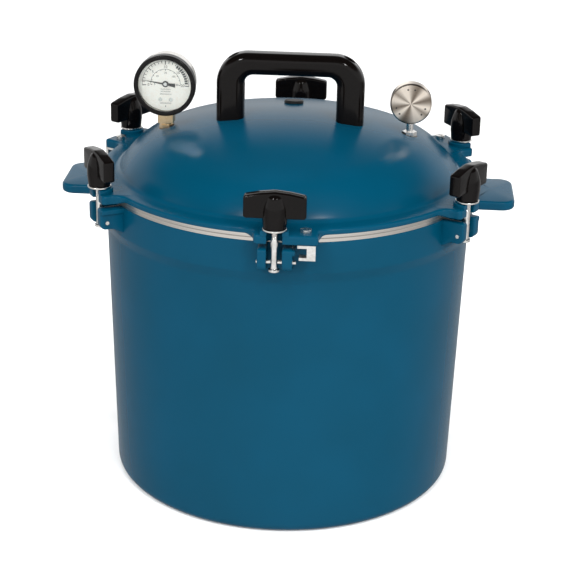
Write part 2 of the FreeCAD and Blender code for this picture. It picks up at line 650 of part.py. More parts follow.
def make_washer(number):
    """The flat washer between a knob and the lid's lug."""
    body = clamp_body(f"washer_{number}", number)
    bore, edge, top = rod_r + washer_play, washer_d / 2, washer_z + washer_t
    revolve(body, [(bore, washer_z), (edge, washer_z, washer_round), (edge, top, washer_round),
                   (bore, top)])


def make_knob(number):
    """A moulded phenolic wing knob, with the seat of its threaded insert and a blind hole."""
    body = clamp_body(f"wing_knob_{number}", number)
    half = wing_span / 2
    end, middle = knob_z + wing_end, knob_z + wing_mid
    shoulder = middle - (wing_mid - wing_end) * 0.35
    pad(body, "XZ_Plane", 0, wing_t, [
        (-half, knob_z + wing_low, wing_corner), (half, knob_z + wing_low, wing_corner),
        (half, end, wing_corner), (half / 2, shoulder, wing_sweep), (0, middle, wing_brow),
        (-half / 2, shoulder, wing_sweep), (-half, end, wing_corner)], both=True)
    soften(body, wing_round, lambda edge: edge.BoundBox.YLength < TOUCH)
    top = middle - hub_step
    revolve(body, [(0, knob_z), (hub_r, knob_z, 0.7), (hub_bulge, knob_z + wing_low, 6),
                   (hub_bulge, knob_z + hub_dome, 20), (hub_crown, top, 6), (0, top)])
    low = knob_z - cut_spare
    cylinder(body, True, 0, 0, low, insert_r, insert_len + cut_spare)
    body.Tip = cylinder(body, True, 0, 0, low, rod_r + rod_play, pin_z + rod_top + rod_room - low)


def make_insert(number):
    """The metal threaded insert moulded into a knob."""
    body = clamp_body(f"knob_insert_{number}", number)
    bore = rod_r + run_fit / 2
    top = knob_z + insert_len
    revolve(body, [(bore, knob_z), (insert_r, knob_z), (insert_r, top), (bore, top)])


# ---------------------------------------------------------------- lid

def lug_outline(left, right):
    """Plan of a lug that reaches left and right of its bolt and runs into the flange."""
    inner = -(mouth - spigot_t)
    corners = [(-(left + lug_flare), inner)]
    for sign, reach in ((-1, left), (1, right)):
        far, near = reach + lug_flare, as_size(reach)
        far_y = lug_bite - root(flange_r * flange_r - far * far)
        near_y = lug_bite - root(flange_r * flange_r - near * near)
        stretch = [(sign * far, far_y), (sign * near, near_y, lug_blend),
                   (sign * near, -lug_out, lug_corner)]
        corners += stretch if sign < 0 else stretch[::-1]
    return corners + [(right + lug_flare, inner)]


def is_dome_foot(edge):
    """The ring where the dome rises from the top of the flange."""
    box = edge.BoundBox
    level = abs(box.ZMax - flange_top.value) < TOUCH and box.ZLength < TOUCH
    return level and crown_edge.value < box.XLength / 2 < flange_r.value - flange_blend.value


def make_lid():
    """The cast lid: dome, flange, seat ring, six slotted lugs with their raised Cs, bosses."""
    body = new_body("lid_casting")
    revolve_dome(body, 0, flange_top - cut_spare, cut=False)
    low = pot_rim - seat_depth
    inner = mouth - spigot_t - ring_inset
    revolve(body, [
        (inner, low), (mouth - seal_gap, low), (mouth + seat_width - seal_gap, lid_rim),
        (lid_bare_r, lid_rim), (lid_bare_r, flange_low), (flange_r, flange_low, 0.8),
        (flange_r, flange_top, 2.5), (inner, flange_top)])
    soften(body, flange_blend, is_dome_foot)
    revolve_dome(body, lid_t, low - cut_spare, cut=True)
    for right, count in ((lug_half, clamps), (lug_long, clamps // 2)):
        lug = pad(body, "XY_Plane", lug_low, lug_top - lug_low, lug_outline(lug_half, right))
        polar(body, lug, count)
    make_lug_bosses(body)
    tapped = cylinder(body, True, screw_x, screw_y, lug_low - cut_spare, screw_d / 2,
                      lug_top - lug_low + 2 * cut_spare)
    polar(body, tapped, clamps // 2)
    for x, spot, thread in ((-gauge_x, gauge_spot, nipple_r), (vent_x, vent_spot, vent_thread)):
        boss_low = spot - thread_in - pad_under
        cylinder(body, False, x, 0, boss_low, fitting_pad, spot - spot_deep - boss_low)
        cylinder(body, True, x, 0, spot, spot_r, spot_r)
        cylinder(body, True, x, 0, boss_low - cut_spare, thread, spot - boss_low + 2 * cut_spare)
    hole_low = dome_height(handle_screw_x) - thread_in
    boss_top_z = dome_height(handle_screw_x + pad_r) - spot_deep
    for sign in (1, -1):
        x = handle_screw_x * sign
        cylinder(body, False, x, 0, hole_low - pad_under, pad_r, boss_top_z - hole_low + pad_under)
        cylinder(body, True, x, 0, hole_low, handle_screw_d / 2, thread_in + 2 * cut_spare)
    near = crown_r - 2 * lid_t
    upright = root(1 - plug_y * plug_y / crown_r / crown_r)
    body.Tip = cylinder(body, True, 0, near * plug_y / crown_r, dome_top - crown_r + near * upright,
                        plug_r + plug_play, 4 * lid_t, V(-1, 0, 0), plug_lean)


def make_lug_bosses(body):
    """The raised C round each bolt, and the slot through it and the lug."""
    for radius, out, low, top, cut in (
            (boss_r, lug_out, lug_top - cut_spare, boss_top, False),
            (half_slot, lug_out + lug_edge, lug_low - cut_spare, boss_top + cut_spare, True)):
        inner, rounding = -(bolt_circle - radius), radius - 0.2
        shape = pad(body, "XY_Plane", low, top - low, [
            (-radius, -out), (radius, -out), (radius, inner, rounding), (-radius, inner, rounding)],
            cut=cut)
        polar(body, shape, clamps)


def make_plug():
    """The rubber overpressure plug, standing square to the dome."""
    body = new_body("overpressure_plug")
    place(body, 0, 0, dome_top - crown_r, V(-1, 0, 0), plug_lean)
    seat = crown_r + plug_play
    low, top = seat - plug_len, seat + plug_head_t
    revolve(body, [(0, low), (plug_r, low, plug_tip), (plug_r, seat), (plug_head_r, seat),
                   (plug_head_r, top, plug_head_round), (0, top)])


def make_handle():
    """The moulded top handle, with legs cut to the dome and two counterbored screw holes."""
    body = new_body("top_handle")
    low = dome_top - leg_spare
    pad(body, "XZ_Plane", 0, handle_w, [
        (handle_half, low), (handle_half, handle_top, handle_outer),
        (-handle_half, handle_top, handle_outer), (-handle_half, low), (-handle_gap, low),
        (-handle_gap, bar_low, handle_inner), (handle_gap, bar_low, handle_inner),
        (handle_gap, low)], both=True)
    soften(body, handle_round, lambda edge: edge.BoundBox.YLength < TOUCH
           and edge.BoundBox.ZMax > low.value + TOUCH)
    revolve_dome(body, 0, low - leg_spare, cut=True)
    for sign in (1, -1):
        x = handle_screw_x * sign
        cylinder(body, True, x, 0, low - cut_spare, handle_screw_d / 2 + shank_play, handle_top - low)
        body.Tip = cylinder(body, True, x, 0, handle_seat, handle_bore / 2, handle_top - handle_seat)


def make_handle_screws():
    """The two pan-head screws that hold the top handle to the lid."""
    body = new_body("handle_screws")
    low = dome_height(handle_screw_x) - thread_in + thread_spare
    shank = cylinder(body, False, handle_screw_x, 0, low, handle_screw_d / 2,
                     handle_seat + handle_head_t / 2 - low)
    polar(body, shank, 2)
    head = cylinder(body, False, handle_screw_x, 0, handle_seat, handle_bore / 2 - head_play,
                    handle_head_t)
    polar(body, head, 2)


def make_brackets():
    """The three bent steel stop brackets under the long lugs."""
    body = new_body("stop_brackets")
    left, tip = bracket_x - bracket_w, bracket_x - bracket_w - bracket_foot
    near, far = screw_x - bracket_pad, screw_y + bracket_pad
    leg = pad(body, "XY_Plane", bracket_low, lug_low - bracket_low, [
        (left, bracket_y), (bracket_x, bracket_y), (bracket_x, bracket_y + bracket_t),
        (left, bracket_y + bracket_t)])
    polar(body, leg, clamps // 2)
    flange = pad(body, "XY_Plane", lug_low - bracket_t, bracket_t, [
        (near, bracket_y), (bracket_x, bracket_y), (bracket_x, far, 2), (near, far, 2)])
    polar(body, flange, clamps // 2)
    foot = pad(body, "XY_Plane", bracket_low, bracket_t, [
        (tip, bracket_y), (bracket_x, bracket_y), (bracket_x, bracket_y + bracket_deep),
        (tip, bracket_y + bracket_deep)])
    polar(body, foot, clamps // 2)
    hole = cylinder(body, True, screw_x, screw_y, lug_low - bracket_t - cut_spare, screw_d / 2,
                    bracket_t + 2 * cut_spare)
    polar(body, hole, clamps // 2)


def make_bracket_screws():
    """The three slotted screws that hold the stop brackets."""
    body = new_body("bracket_screws")
    low = lug_low - bracket_t - screw_end
    head_top = lug_top + screw_head_t
    shank = cylinder(body, False, screw_x, screw_y, low, screw_d / 2, head_top - driver_deep - low)
    polar(body, shank, clamps // 2)
    head = cylinder(body, False, screw_x, screw_y, lug_top, screw_head_d / 2, screw_head_t)
    polar(body, head, clamps // 2)
    half_x, half_y = screw_head_d, driver_w / 2
    slot = pad(body, "XY_Plane", head_top - driver_deep, driver_deep + cut_spare, [
        (screw_x - half_x, screw_y - half_y), (screw_x + half_x, screw_y - half_y),
        (screw_x + half_x, screw_y + half_y), (screw_x - half_x, screw_y + half_y)], cut=True)
    polar(body, slot, clamps // 2)


# ---------------------------------------------------------------- vent pipe and weight

def hexagon(body, low):
    """A hexagon round the body's own axis."""
    corner = hex_af / math.sqrt(3)
    turns = [math.radians(60 * i) for i in range(6)]
    pad(body, "XY_Plane", low, hex_t, [
        (corner * round(math.cos(a), 6), corner * round(math.sin(a), 6)) for a in turns])


def make_vent():
    """The vent pipe: thread, hexagon and bored pipe."""
    body = new_body("vent_pipe")
    place(body, vent_x, 0, 0)
    low = vent_spot - thread_in - thread_tail
    revolve(body, [(vent_bore, low), (vent_thread, low, fitting_round), (vent_thread, vent_spot),
                   (vent_r, vent_spot), (vent_r, pipe_top, vent_tip), (vent_bore, pipe_top)])
    hexagon(body, vent_spot)
    body.Tip = cylinder(body, True, 0, 0, low - cut_spare, vent_bore, pipe_top - low + 2 * cut_spare)


def make_weight():
    """The round regulator weight with three radial holes, standing on the vent pipe."""
    body = new_body("regulator_weight")
    place(body, vent_x, 0, weight_z, V(1, 0, 0), 90)
    half, face_r = weight_t / 2, weight_r - weight_chamfer
    revolve(body, [(0, -half), (face_r, -half), (weight_r, -half + weight_chamfer),
                   (weight_r, half - weight_chamfer), (face_r, half), (0, half)])
    hole = cylinder(body, True, 0, -(weight_r - weight_deep), 0, weight_hole,
                    weight_deep + cut_spare, V(1, 0, 0), 90)
    polar(body, hole, 3)


# ---------------------------------------------------------------- gauge

def gauge_body(label):
    """A body whose own Z is the dial's axis, pointing at the reader."""
    body = new_body(label)
    place(body, -gauge_x, -case_front, gauge_z, V(1, 0, 0), 90)
    return body


def make_gauge_case():
    """The drawn metal case: a cup with a hole below for the stem's neck."""
    body = gauge_body("gauge_case")
    inner, back = case_r - case_t, -case_len
    revolve(body, [(0, back), (case_r, back, 2), (case_r, 0), (inner, 0),
                   (inner, back + case_t, 1), (0, back + case_t)])
    body.Tip = cylinder(body, True, 0, -case_r - cut_spare, -case_front, neck_r + neck_play,
                        case_t + 3 * cut_spare, V(-1, 0, 0), 90)


def make_gauge_bezel():
    """The moulded ring that grips the case and holds the lens in."""
    body = gauge_body("gauge_bezel")
    front, bore = lens_front + bezel_lip, case_r + run_fit
    revolve(body, [(bore, front - bezel_len), (bezel_r, front - bezel_len, 0.4),
                   (bezel_r, front, 1.3), (bezel_in, front, 0.8), (bezel_in, front - bezel_rim),
                   (bore, front - bezel_rim)])


def make_gauge_lens():
    """The clear lens, a flat disc between case and bezel."""
    body = gauge_body("gauge_lens")
    edge = case_r - glass_play
    revolve(body, [(0, lens_gap), (edge, lens_gap), (edge, lens_front), (0, lens_front)])


def make_gauge_dial():
    """The printed dial plate, with holes for the arbor and its two screws."""
    body = gauge_body("gauge_dial")
    edge, bore = case_r - case_t - dial_play, arbor_r + arbor_play
    revolve(body, [(bore, dial_low), (edge, dial_low), (edge, -dial_back), (bore, -dial_back)])
    for sign in (1, -1):
        body.Tip = cylinder(body, True, dial_screw_x * sign, -dial_screw_z, dial_low - cut_spare,
                            dial_screw_r + run_fit, dial_t + 2 * cut_spare)


def make_dial_screws():
    """The two screws that hold the dial to the movement."""
    body = gauge_body("dial_screws")
    for sign in (1, -1):
        x = dial_screw_x * sign
        cylinder(body, False, x, -dial_screw_z, plate_z, dial_screw_r, -dial_back - plate_z)
        body.Tip = cylinder(body, False, x, -dial_screw_z, -dial_back, dial_head_r, dial_head_t)


def make_pointer():
    """The pointer on its arbor, drawn pointing along -X and a little up."""
    body = gauge_body("gauge_pointer")
    low = -dial_back + pointer_gap
    revolve(body, [(0, low - arbor_len), (arbor_r, low - arbor_len), (arbor_r, low),
                   (pointer_hub, low), (pointer_hub, low + hub_t, 0.3), (0, low + hub_t)])
    half, root_x, tail_y = pointer_w / 2, pointer_hub / 2, pointer_tail * pointer_lift
    pad(body, "XY_Plane", low, pointer_t, [
        (-pointer_len, pointer_len * pointer_lift), (-root_x, -half),
        (pointer_tail, -tail_y - tail_half), (pointer_tail, tail_half - tail_y), (-root_x, half)])


def make_movement():
    """The gauge movement: the brass plate that carries the arbor and the dial."""
    body = gauge_body("gauge_movement")
    pad(body, "XY_Plane", plate_z, plate_t, [
        (-plate_half, -plate_low, 2), (plate_half, -plate_low, 2),
        (plate_half, plate_top, 2), (-plate_half, plate_top, 2)])
    cylinder(body, True, 0, 0, plate_z - cut_spare, arbor_r + run_fit, plate_t + 2 * cut_spare)
    for sign in (1, -1):
        cylinder(body, True, dial_screw_x * sign, -dial_screw_z, plate_z - cut_spare, dial_screw_r,
                 plate_t + 2 * cut_spare)
        body.Tip = cylinder(body, False, (plate_half - cut_spare) * sign, -plate_half,
                            plate_z + plate_t / 2, post_r, plate_drop - plate_t / 2)


def make_bourdon():
    """The curved pressure tube inside the gauge, a C from the stem round to its free end."""
    body = gauge_body("bourdon_tube")
    front, back = dial_low - tube_front, -case_len + case_t + tube_gap
    inside, outside = tube_r - tube_half, tube_r + tube_half
    revolve(body, [(inside, back, 1), (outside, back, 1), (outside, front, 1), (inside, front, 1)],
            angle=270)


def make_gauge_stem():
    """The brass stem: threaded nipple, hexagon, square block and the neck into the case."""
    body = new_body("gauge_stem")
    place(body, -gauge_x, 0, 0)
    low = gauge_spot - thread_in - thread_tail
    block_top = gauge_z - bezel_r - block_gap
    neck_low = block_top - cut_spare / 2
    nipple_top = block_low + cut_spare / 2
    revolve(body, [(0, low), (nipple_r, low, fitting_round), (nipple_r, nipple_top), (0, nipple_top)])
    hexagon(body, gauge_spot)
    half = block_w / 2
    pad(body, "XY_Plane", block_low, block_top - block_low, [
        (-half, -half, block_corner), (half, -half, block_corner),
        (half, half, block_corner), (-half, half, block_corner)])
    body.Tip = cylinder(body, False, 0, 0, neck_low, neck_r, gauge_z - tube_r - tube_half - neck_low)


# ---------------------------------------------------------------- build and write

doc.recompute()
makers = [make_pot, make_hinge_pins, make_rack, make_lid, make_handle, make_handle_screws,
          make_brackets, make_bracket_screws, make_vent, make_weight, make_plug,
          make_gauge_case, make_gauge_bezel, make_gauge_lens, make_gauge_dial, make_dial_screws,
          make_pointer, make_movement, make_bourdon, make_gauge_stem]
for make in makers:
    make()
for number in range(1, clamps + 1):
    for make in (make_swing_bolt, make_washer, make_knob, make_insert):
        make(number)

doc.recompute()
for thing in doc.Objects:
    if "Invalid" in thing.State or "Error" in thing.State:
        raise RuntimeError(f"{thing.Name} ({thing.Label}): {thing.getStatusString()}")
for body in [thing for thing in doc.Objects if thing.TypeId == "PartDesign::Body"]:
    if body.Shape.isNull() or not body.Shape.isValid():
        raise RuntimeError(f"{body.Label} has no valid shape")
    body.Shape.exportStep(f"parts/{body.Label}.step")
    print(body.Label, len(body.Shape.Solids), round(body.Shape.Volume))
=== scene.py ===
"""Looks of the pressure canner: enamelled castings, phenolic grips and bright steel clamps.

Sizes are in millimetres until a grid becomes a mesh, +Z is up, and -Y is the front.
"""
import math

import bmesh
import bpy
import numpy as np
from mathutils import Matrix, Vector


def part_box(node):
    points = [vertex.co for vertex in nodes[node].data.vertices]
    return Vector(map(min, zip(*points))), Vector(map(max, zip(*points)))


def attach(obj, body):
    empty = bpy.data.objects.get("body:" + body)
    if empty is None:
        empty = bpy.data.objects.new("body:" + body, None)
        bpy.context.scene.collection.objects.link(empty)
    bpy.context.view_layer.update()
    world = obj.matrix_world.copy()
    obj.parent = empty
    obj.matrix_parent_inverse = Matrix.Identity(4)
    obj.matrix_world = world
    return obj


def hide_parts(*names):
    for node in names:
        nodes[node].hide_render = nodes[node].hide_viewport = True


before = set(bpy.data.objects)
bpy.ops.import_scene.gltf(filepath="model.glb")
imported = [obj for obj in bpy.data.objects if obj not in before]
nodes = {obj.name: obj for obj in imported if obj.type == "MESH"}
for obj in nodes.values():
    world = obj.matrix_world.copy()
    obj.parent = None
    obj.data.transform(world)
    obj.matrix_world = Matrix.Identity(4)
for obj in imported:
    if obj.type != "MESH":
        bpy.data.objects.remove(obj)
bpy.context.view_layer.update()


# ================================================================ pot
# The pot is one aluminium casting. Its rim, conical seat and inside are turned and left bare;
# the outside is sprayed with gloss enamel, which shows a little orange peel.

MM = 0.001


def span(name):
    """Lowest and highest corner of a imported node, in millimetres."""
    low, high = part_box(name)
    return np.array(low) / MM, np.array(high) / MM


def rounded(corners, step=0.2, run=1):
    """Points of an open line through corners (x, y, radius): each rounding is an arc tangent to
    both sides, cut every `step` radians, and each straight side is cut into `run` lengths."""
    corners = [tuple(c) + (0,) * (3 - len(c)) for c in corners]
    at = np.array([c[:2] for c in corners], float)
    pieces = [at[:1]]
    for i in range(1, len(corners) - 1):
        radius = corners[i][2]
        back, ahead = at[i - 1] - at[i], at[i + 1] - at[i]
        back, ahead = back / np.linalg.norm(back), ahead / np.linalg.norm(ahead)
        half = math.acos(float(np.clip(back @ ahead, -1, 1))) / 2
        if radius == 0 or half > math.pi / 2 - 0.01:
            pieces.append(at[i:i + 1])
            continue
        middle = at[i] + (back + ahead) / np.linalg.norm(back + ahead) * radius / math.sin(half)
        first = at[i] + back * radius / math.tan(half) - middle
        turn = math.pi - 2 * half
        side = -np.sign(back[0] * ahead[1] - back[1] * ahead[0])
        a = np.linspace(0, turn, max(3, math.ceil(turn / step) + 1)) * side
        pieces.append(middle + np.stack([first[0] * np.cos(a) - first[1] * np.sin(a),
                                         first[0] * np.sin(a) + first[1] * np.cos(a)], 1))
    pieces.append(at[-1:])
    points = [pieces[0]]
    for before, after in zip(pieces, pieces[1:]):
        t = np.linspace(0, 1, run + 1)[1:, None]
        points += [before[-1] + (after[0] - before[-1]) * t, after[1:]]
    return np.concatenate(points)


def loop(corners, step=0.25, run=1):
    """The closed form of rounded(), starting in the middle of its last side."""
    start = tuple((np.array(corners[0][:2]) + np.array(corners[-1][:2])) / 2)
    return rounded([start] + list(corners) + [start], step, run)[:-1]


def skin(name, grid, finishes, bands=(), sharp=35):
    """A mesh from a grid of points, rows along the profile and columns round it: neighbours
    make four-sided faces, points that meet are merged, and the faces point outwards.
    Each further finish starts at its row in bands."""
    rows, columns = grid.shape[:2]
    left = np.arange(rows * columns).reshape(rows, columns)
    right = np.roll(left, -1, 1)
    faces = np.stack([left[:-1], right[:-1], right[1:], left[1:]], -1)
    which = np.repeat(np.searchsorted(bands, np.arange(rows - 1), "right"), columns)
    mesh = bpy.data.meshes.new(name)
    mesh.from_pydata((grid.reshape(-1, 3) * MM).tolist(), [], faces.reshape(-1, 4).tolist())
    mesh.polygons.foreach_set("material_index", which.astype(np.int32))
    work = bmesh.new()
    work.from_mesh(mesh)
    bmesh.ops.remove_doubles(work, verts=work.verts, dist=2e-6)
    if work.calc_volume(signed=True) < 0:
        bmesh.ops.reverse_faces(work, faces=work.faces)
    work.to_mesh(mesh)
    work.free()
    return show(name, mesh, finishes, sharp)


def show(name, mesh, finishes, sharp=35):
    """Shades a mesh smooth up to a sharp angle, gives it its finishes and puts it in the scene."""
    which = np.zeros(len(mesh.polygons), np.int32)
    mesh.polygons.foreach_get("material_index", which)
    mesh.materials.clear()
    for finish in finishes:
        mesh.materials.append(finish)
    mesh.polygons.foreach_set("material_index", np.minimum(which, len(finishes) - 1))
    mesh.polygons.foreach_set("use_smooth", np.ones(len(mesh.polygons), bool))
    mesh.set_sharp_from_angle(angle=math.radians(sharp))
    piece = bpy.data.objects.new(name, mesh)
    bpy.context.scene.collection.objects.link(piece)
    return piece


def lathe(profile, columns, x=0.0, y=0.0):
    """The profile (radius, height) carried round an upright axis at x, y."""
    a = np.linspace(0, 2 * math.pi, columns, endpoint=False)
    radius, height = profile[:, :1], profile[:, 1:]
    return np.stack([x + radius * np.cos(a), y + radius * np.sin(a), height + 0 * a], -1)


def rides(piece, body, slot, *replaced):
    """Hangs a piece on its body and hides the CAD nodes it stands for. The slot is not used."""
    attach(piece, body)
    if replaced:
        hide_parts(*replaced)
    return piece


def linear(code):
    """An sRGB hex colour as linear RGBA."""
    parts = [int(code[i:i + 2], 16) / 255 for i in (1, 3, 5)]
    return [p / 12.92 if p <= 0.04045 else ((p + 0.055) / 1.055) ** 2.4 for p in parts] + [1.0]


def material(name):
    """A new material and its empty node tree."""
    made = bpy.data.materials.new(name)
    made.use_nodes = True
    made.node_tree.nodes.clear()
    return made, made.node_tree


def node(tree, kind, inputs={}, **settings):
    """Adds a shader node with its settings. Each input is a value, or an output to link.
    By number, a Map Range takes 1 to 2 in and gives 3 to 4, and a colour Mix runs from 6 to 7."""
    made = tree.nodes.new(kind)
    for key, value in settings.items():
        setattr(made, key, value)
    for socket, value in inputs.items():
        if isinstance(value, bpy.types.NodeSocket):
            tree.links.new(value, made.inputs[socket])
        else:
            made.inputs[socket].default_value = value
    return made


def gloss_enamel():
    """Gloss enamel sprayed on a sand casting: one deep colour with a quiet gloss, orange peel
    3 mm wide over sand grain 0.8 mm wide, and slow changes of depth where the coat pooled over
    70 mm. Its specular level is well under the usual 0.5, so the white room doesn't veil it."""
    made, tree = material("gloss_enamel_on_sand_casting")
    at = node(tree, "ShaderNodeTexCoord").outputs["Object"]
    pool = node(tree, "ShaderNodeTexNoise", {"Vector": at, "Scale": 1 / (70 * MM), "Detail": 2})
    peel = node(tree, "ShaderNodeTexNoise", {"Vector": at, "Scale": 1 / (3.0 * MM), "Detail": 1})
    sand = node(tree, "ShaderNodeTexNoise", {"Vector": at, "Scale": 1 / (0.8 * MM), "Detail": 2})
    wave = node(tree, "ShaderNodeBump", {
        "Height": peel.outputs["Fac"], "Strength": 0.10, "Distance": 0.10 * MM})
    grit = node(tree, "ShaderNodeBump", {
        "Height": sand.outputs["Fac"], "Strength": 0.06, "Distance": 0.04 * MM,
        "Normal": wave.outputs[0]})
    haze = node(tree, "ShaderNodeMapRange", {"Value": pool.outputs["Fac"], 3: 0.22, 4: 0.28})
    colour = node(tree, "ShaderNodeMix", {
        0: pool.outputs["Fac"], 6: linear("#003447"), 7: linear("#003c54")}, data_type="RGBA")
    shader = node(tree, "ShaderNodeBsdfPrincipled", {
        "Base Color": colour.outputs[2], "Roughness": haze.outputs[0], "Normal": grit.outputs[0],
        "IOR": 1.5, "Specular IOR Level": 0.1})
    node(tree, "ShaderNodeOutputMaterial", {"Surface": shader.outputs[0]})
    return made


def turned_aluminium():
    """Aluminium turned on a lathe: pale and half bright, with its tool marks drawn every
    0.4 mm, coarser than the real feed, so that they show."""
    made, tree = material("turned_aluminium")
    at = node(tree, "ShaderNodeTexCoord").outputs["Object"]
    flat = node(tree, "ShaderNodeVectorMath", {0: at, 1: (1, 1, 0)}, operation="MULTIPLY")
    reach = node(tree, "ShaderNodeVectorMath", {0: flat.outputs[0]}, operation="LENGTH")
    height = node(tree, "ShaderNodeSeparateXYZ", {0: at}).outputs["Z"]
    along = node(tree, "ShaderNodeMath", {0: reach.outputs["Value"], 1: height})
    marks = node(tree, "ShaderNodeTexNoise", {
        "W": along.outputs[0], "Scale": 1 / (0.4 * MM), "Detail": 2}, noise_dimensions="1D")
    bump = node(tree, "ShaderNodeBump", {
        "Height": marks.outputs["Fac"], "Strength": 0.25, "Distance": 0.04 * MM})
    colour = node(tree, "ShaderNodeMix", {
        0: marks.outputs["Fac"], 6: linear("#837d76"), 7: linear("#fffaf3")}, data_type="RGBA")
    shader = node(tree, "ShaderNodeBsdfPrincipled", {
        "Base Color": colour.outputs[2], "Metallic": 1.0, "Roughness": 0.3,
        "Normal": bump.outputs[0]})
    node(tree, "ShaderNodeOutputMaterial", {"Surface": shader.outputs[0]})
    return made


enamel = gloss_enamel()
bare = turned_aluminium()

POT_WALL, FLOOR, WALL_R, BOTTOM_R = 5.5, 6.0, 161.0, 154.5
BELT_R, BELT_LOW, BELT_TOP, BARE_R = 164.0, 245.0, 271.7, 163.3
RIM, SEAT_DEEP, SEAT_WIDE = span("pot_body")[1][2], 6.5, 4.3
MOUTH = WALL_R - POT_WALL

outside = rounded([(0, 0), (BOTTOM_R, 0, 9), (WALL_R, BELT_LOW - 9, 12), (BELT_R, BELT_LOW, 6),
                   (BELT_R, BELT_TOP, 0.9), (BARE_R, BELT_TOP)], run=8)
inside = rounded([(BARE_R, BELT_TOP), (BARE_R, RIM, 0.9), (MOUTH + SEAT_WIDE, RIM, 0.4),
                  (MOUTH, RIM - SEAT_DEEP, 0.5), (BOTTOM_R - POT_WALL, FLOOR, 12), (0, FLOOR)], run=6)
pot_shell = skin("pot_shell", lathe(np.concatenate([outside, inside[1:]]), 360), [enamel, bare],
                 [len(outside) - 1])
rides(pot_shell, "pot", "painted_aluminium", "pot_body")


# ================================================================ hinge ears
# Twelve ears cast with the pot, two at each clamp, drilled for the hinge pin and enamelled
# with it. One ear of each pair has a short ledge along its top.

def plate(outline, low, high, edge, steps=4):
    """A flat plate with rounded edges: the outline (a, b) drawn inwards along its own normals
    by a quarter circle of radius edge at both faces, each face closed on its middle."""
    ahead, back = np.roll(outline, -1, 0) - outline, outline - np.roll(outline, 1, 0)
    along = ahead / np.linalg.norm(ahead, axis=1)[:, None] + back / np.linalg.norm(back, axis=1)[:, None]
    along /= np.linalg.norm(along, axis=1)[:, None]
    nearby = np.roll(outline, -1, 0)
    area = np.sum(outline[:, 0] * nearby[:, 1] - nearby[:, 0] * outline[:, 1])
    inward = np.stack([-along[:, 1], along[:, 0]], 1) * np.sign(area)
    q = np.linspace(0, math.pi / 2, steps + 1)
    inset = np.concatenate([edge * (1 - np.sin(q)), edge * (1 - np.cos(q))])
    level = np.concatenate([low + edge * (1 - np.cos(q)), high - edge * (1 - np.sin(q))])
    middle = outline.mean(0)
    flat = np.concatenate([np.tile(middle, (1, len(outline), 1)), outline + inward * inset[:, None, None],
                           np.tile(middle, (1, len(outline), 1))])
    level = np.concatenate([[low], level, [high]])[:, None, None]
    return np.concatenate([flat, level + 0 * flat[..., :1]], -1)


def turned(grid, degrees):
    """The grid turned about the pot's axis."""
    c, s = math.cos(math.radians(degrees)), math.sin(math.radians(degrees))
    return grid @ np.array([[c, s, 0], [-s, c, 0], [0, 0, 1]])


def merged(name, pieces, finishes, sharp=35):
    """Several pieces joined into one mesh."""
    work = bmesh.new()
    for piece in pieces:
        work.from_mesh(piece.data)
        bpy.data.objects.remove(piece)
    mesh = bpy.data.meshes.new(name)
    work.to_mesh(mesh)
    work.free()
    return show(name, mesh, finishes, sharp)


CLAMPS = 6
CLAMP_TURN = 360 / CLAMPS
BOLT_CIRCLE, SLOT, LUG_OUT = 178.2, 12.6, 182.0
EAR_OUT, EAR_LOW, EAR_TOP, EAR_ROOT = 183.2, 253.5, 271.9, 159.0
EAR_T, WIDE_EAR_T, EAR_EDGE, EAR_BEND, EAR_HEEL = 7.3, 8.4, 1.3, 13.0, 246.0
LEDGE_IN, LEDGE_OUT, LEDGE_T, LEDGE_EDGE, LEDGE_INSET = 5.0, 10.4, 5.0, 1.0, 0.6
ear_side = loop([(EAR_OUT, EAR_TOP, 2.5), (EAR_OUT, EAR_LOW, 5), (EAR_ROOT + EAR_BEND, EAR_LOW, 8),
                 (EAR_ROOT, EAR_HEEL), (EAR_ROOT, EAR_TOP)], run=3)
ledge_side = loop([(EAR_OUT - LEDGE_INSET, EAR_TOP - LEDGE_INSET, 1.2),
                   (EAR_OUT - LEDGE_INSET, EAR_TOP - LEDGE_T, 1.2),
                   (EAR_ROOT, EAR_TOP - LEDGE_T), (EAR_ROOT, EAR_TOP - LEDGE_INSET)], run=3)
ears = []
for clamp in range(CLAMPS):
    for outline, low, high, edge in (
            (ear_side, -SLOT / 2 - EAR_T, -SLOT / 2, EAR_EDGE),
            (ear_side, SLOT / 2, SLOT / 2 + WIDE_EAR_T, EAR_EDGE),
            (ledge_side, SLOT / 2 + LEDGE_IN, SLOT / 2 + LEDGE_OUT, LEDGE_EDGE)):
        grid = plate(outline, low, high, edge)
        grid = np.stack([grid[..., 2], -grid[..., 0], grid[..., 1]], -1)
        ears.append(skin("ear", turned(grid, CLAMP_TURN * clamp), [enamel]))
rides(merged("hinge_ears", ears, [enamel]), "pot", "painted_aluminium")


# ================================================================ side handles
# Two flat tabs cast with the belt, opposite each other on X, for lifting the pot. They are
# enamelled with it, and their corners and edges are rounded for the hand.

TAB_REACH, TAB_HALF, TAB_TOP, TAB_T, TAB_EDGE = 199.0, 34.0, 269.5, 8.2, 2.2
plan = loop([(TAB_REACH, TAB_HALF, 12), (TAB_REACH, -TAB_HALF, 12), (BELT_R - 0.5, -TAB_HALF, 3),
             (BELT_R - 4, -TAB_HALF - 3), (BELT_R - 4, TAB_HALF + 3), (BELT_R - 0.5, TAB_HALF, 3)],
            step=0.12, run=6)
tabs = [skin("tab", turned(plate(plan, TAB_TOP - TAB_T, TAB_TOP, TAB_EDGE, 6), turn), [enamel])
        for turn in (0, 180)]
rides(merged("side_handles", tabs, [enamel]), "pot", "painted_aluminium")


# ================================================================ lid
# The lid is one aluminium casting: a dome on a flange with six slotted lugs. Its seat and the
# band under the flange are turned bare, and the rest is enamelled like the pot.

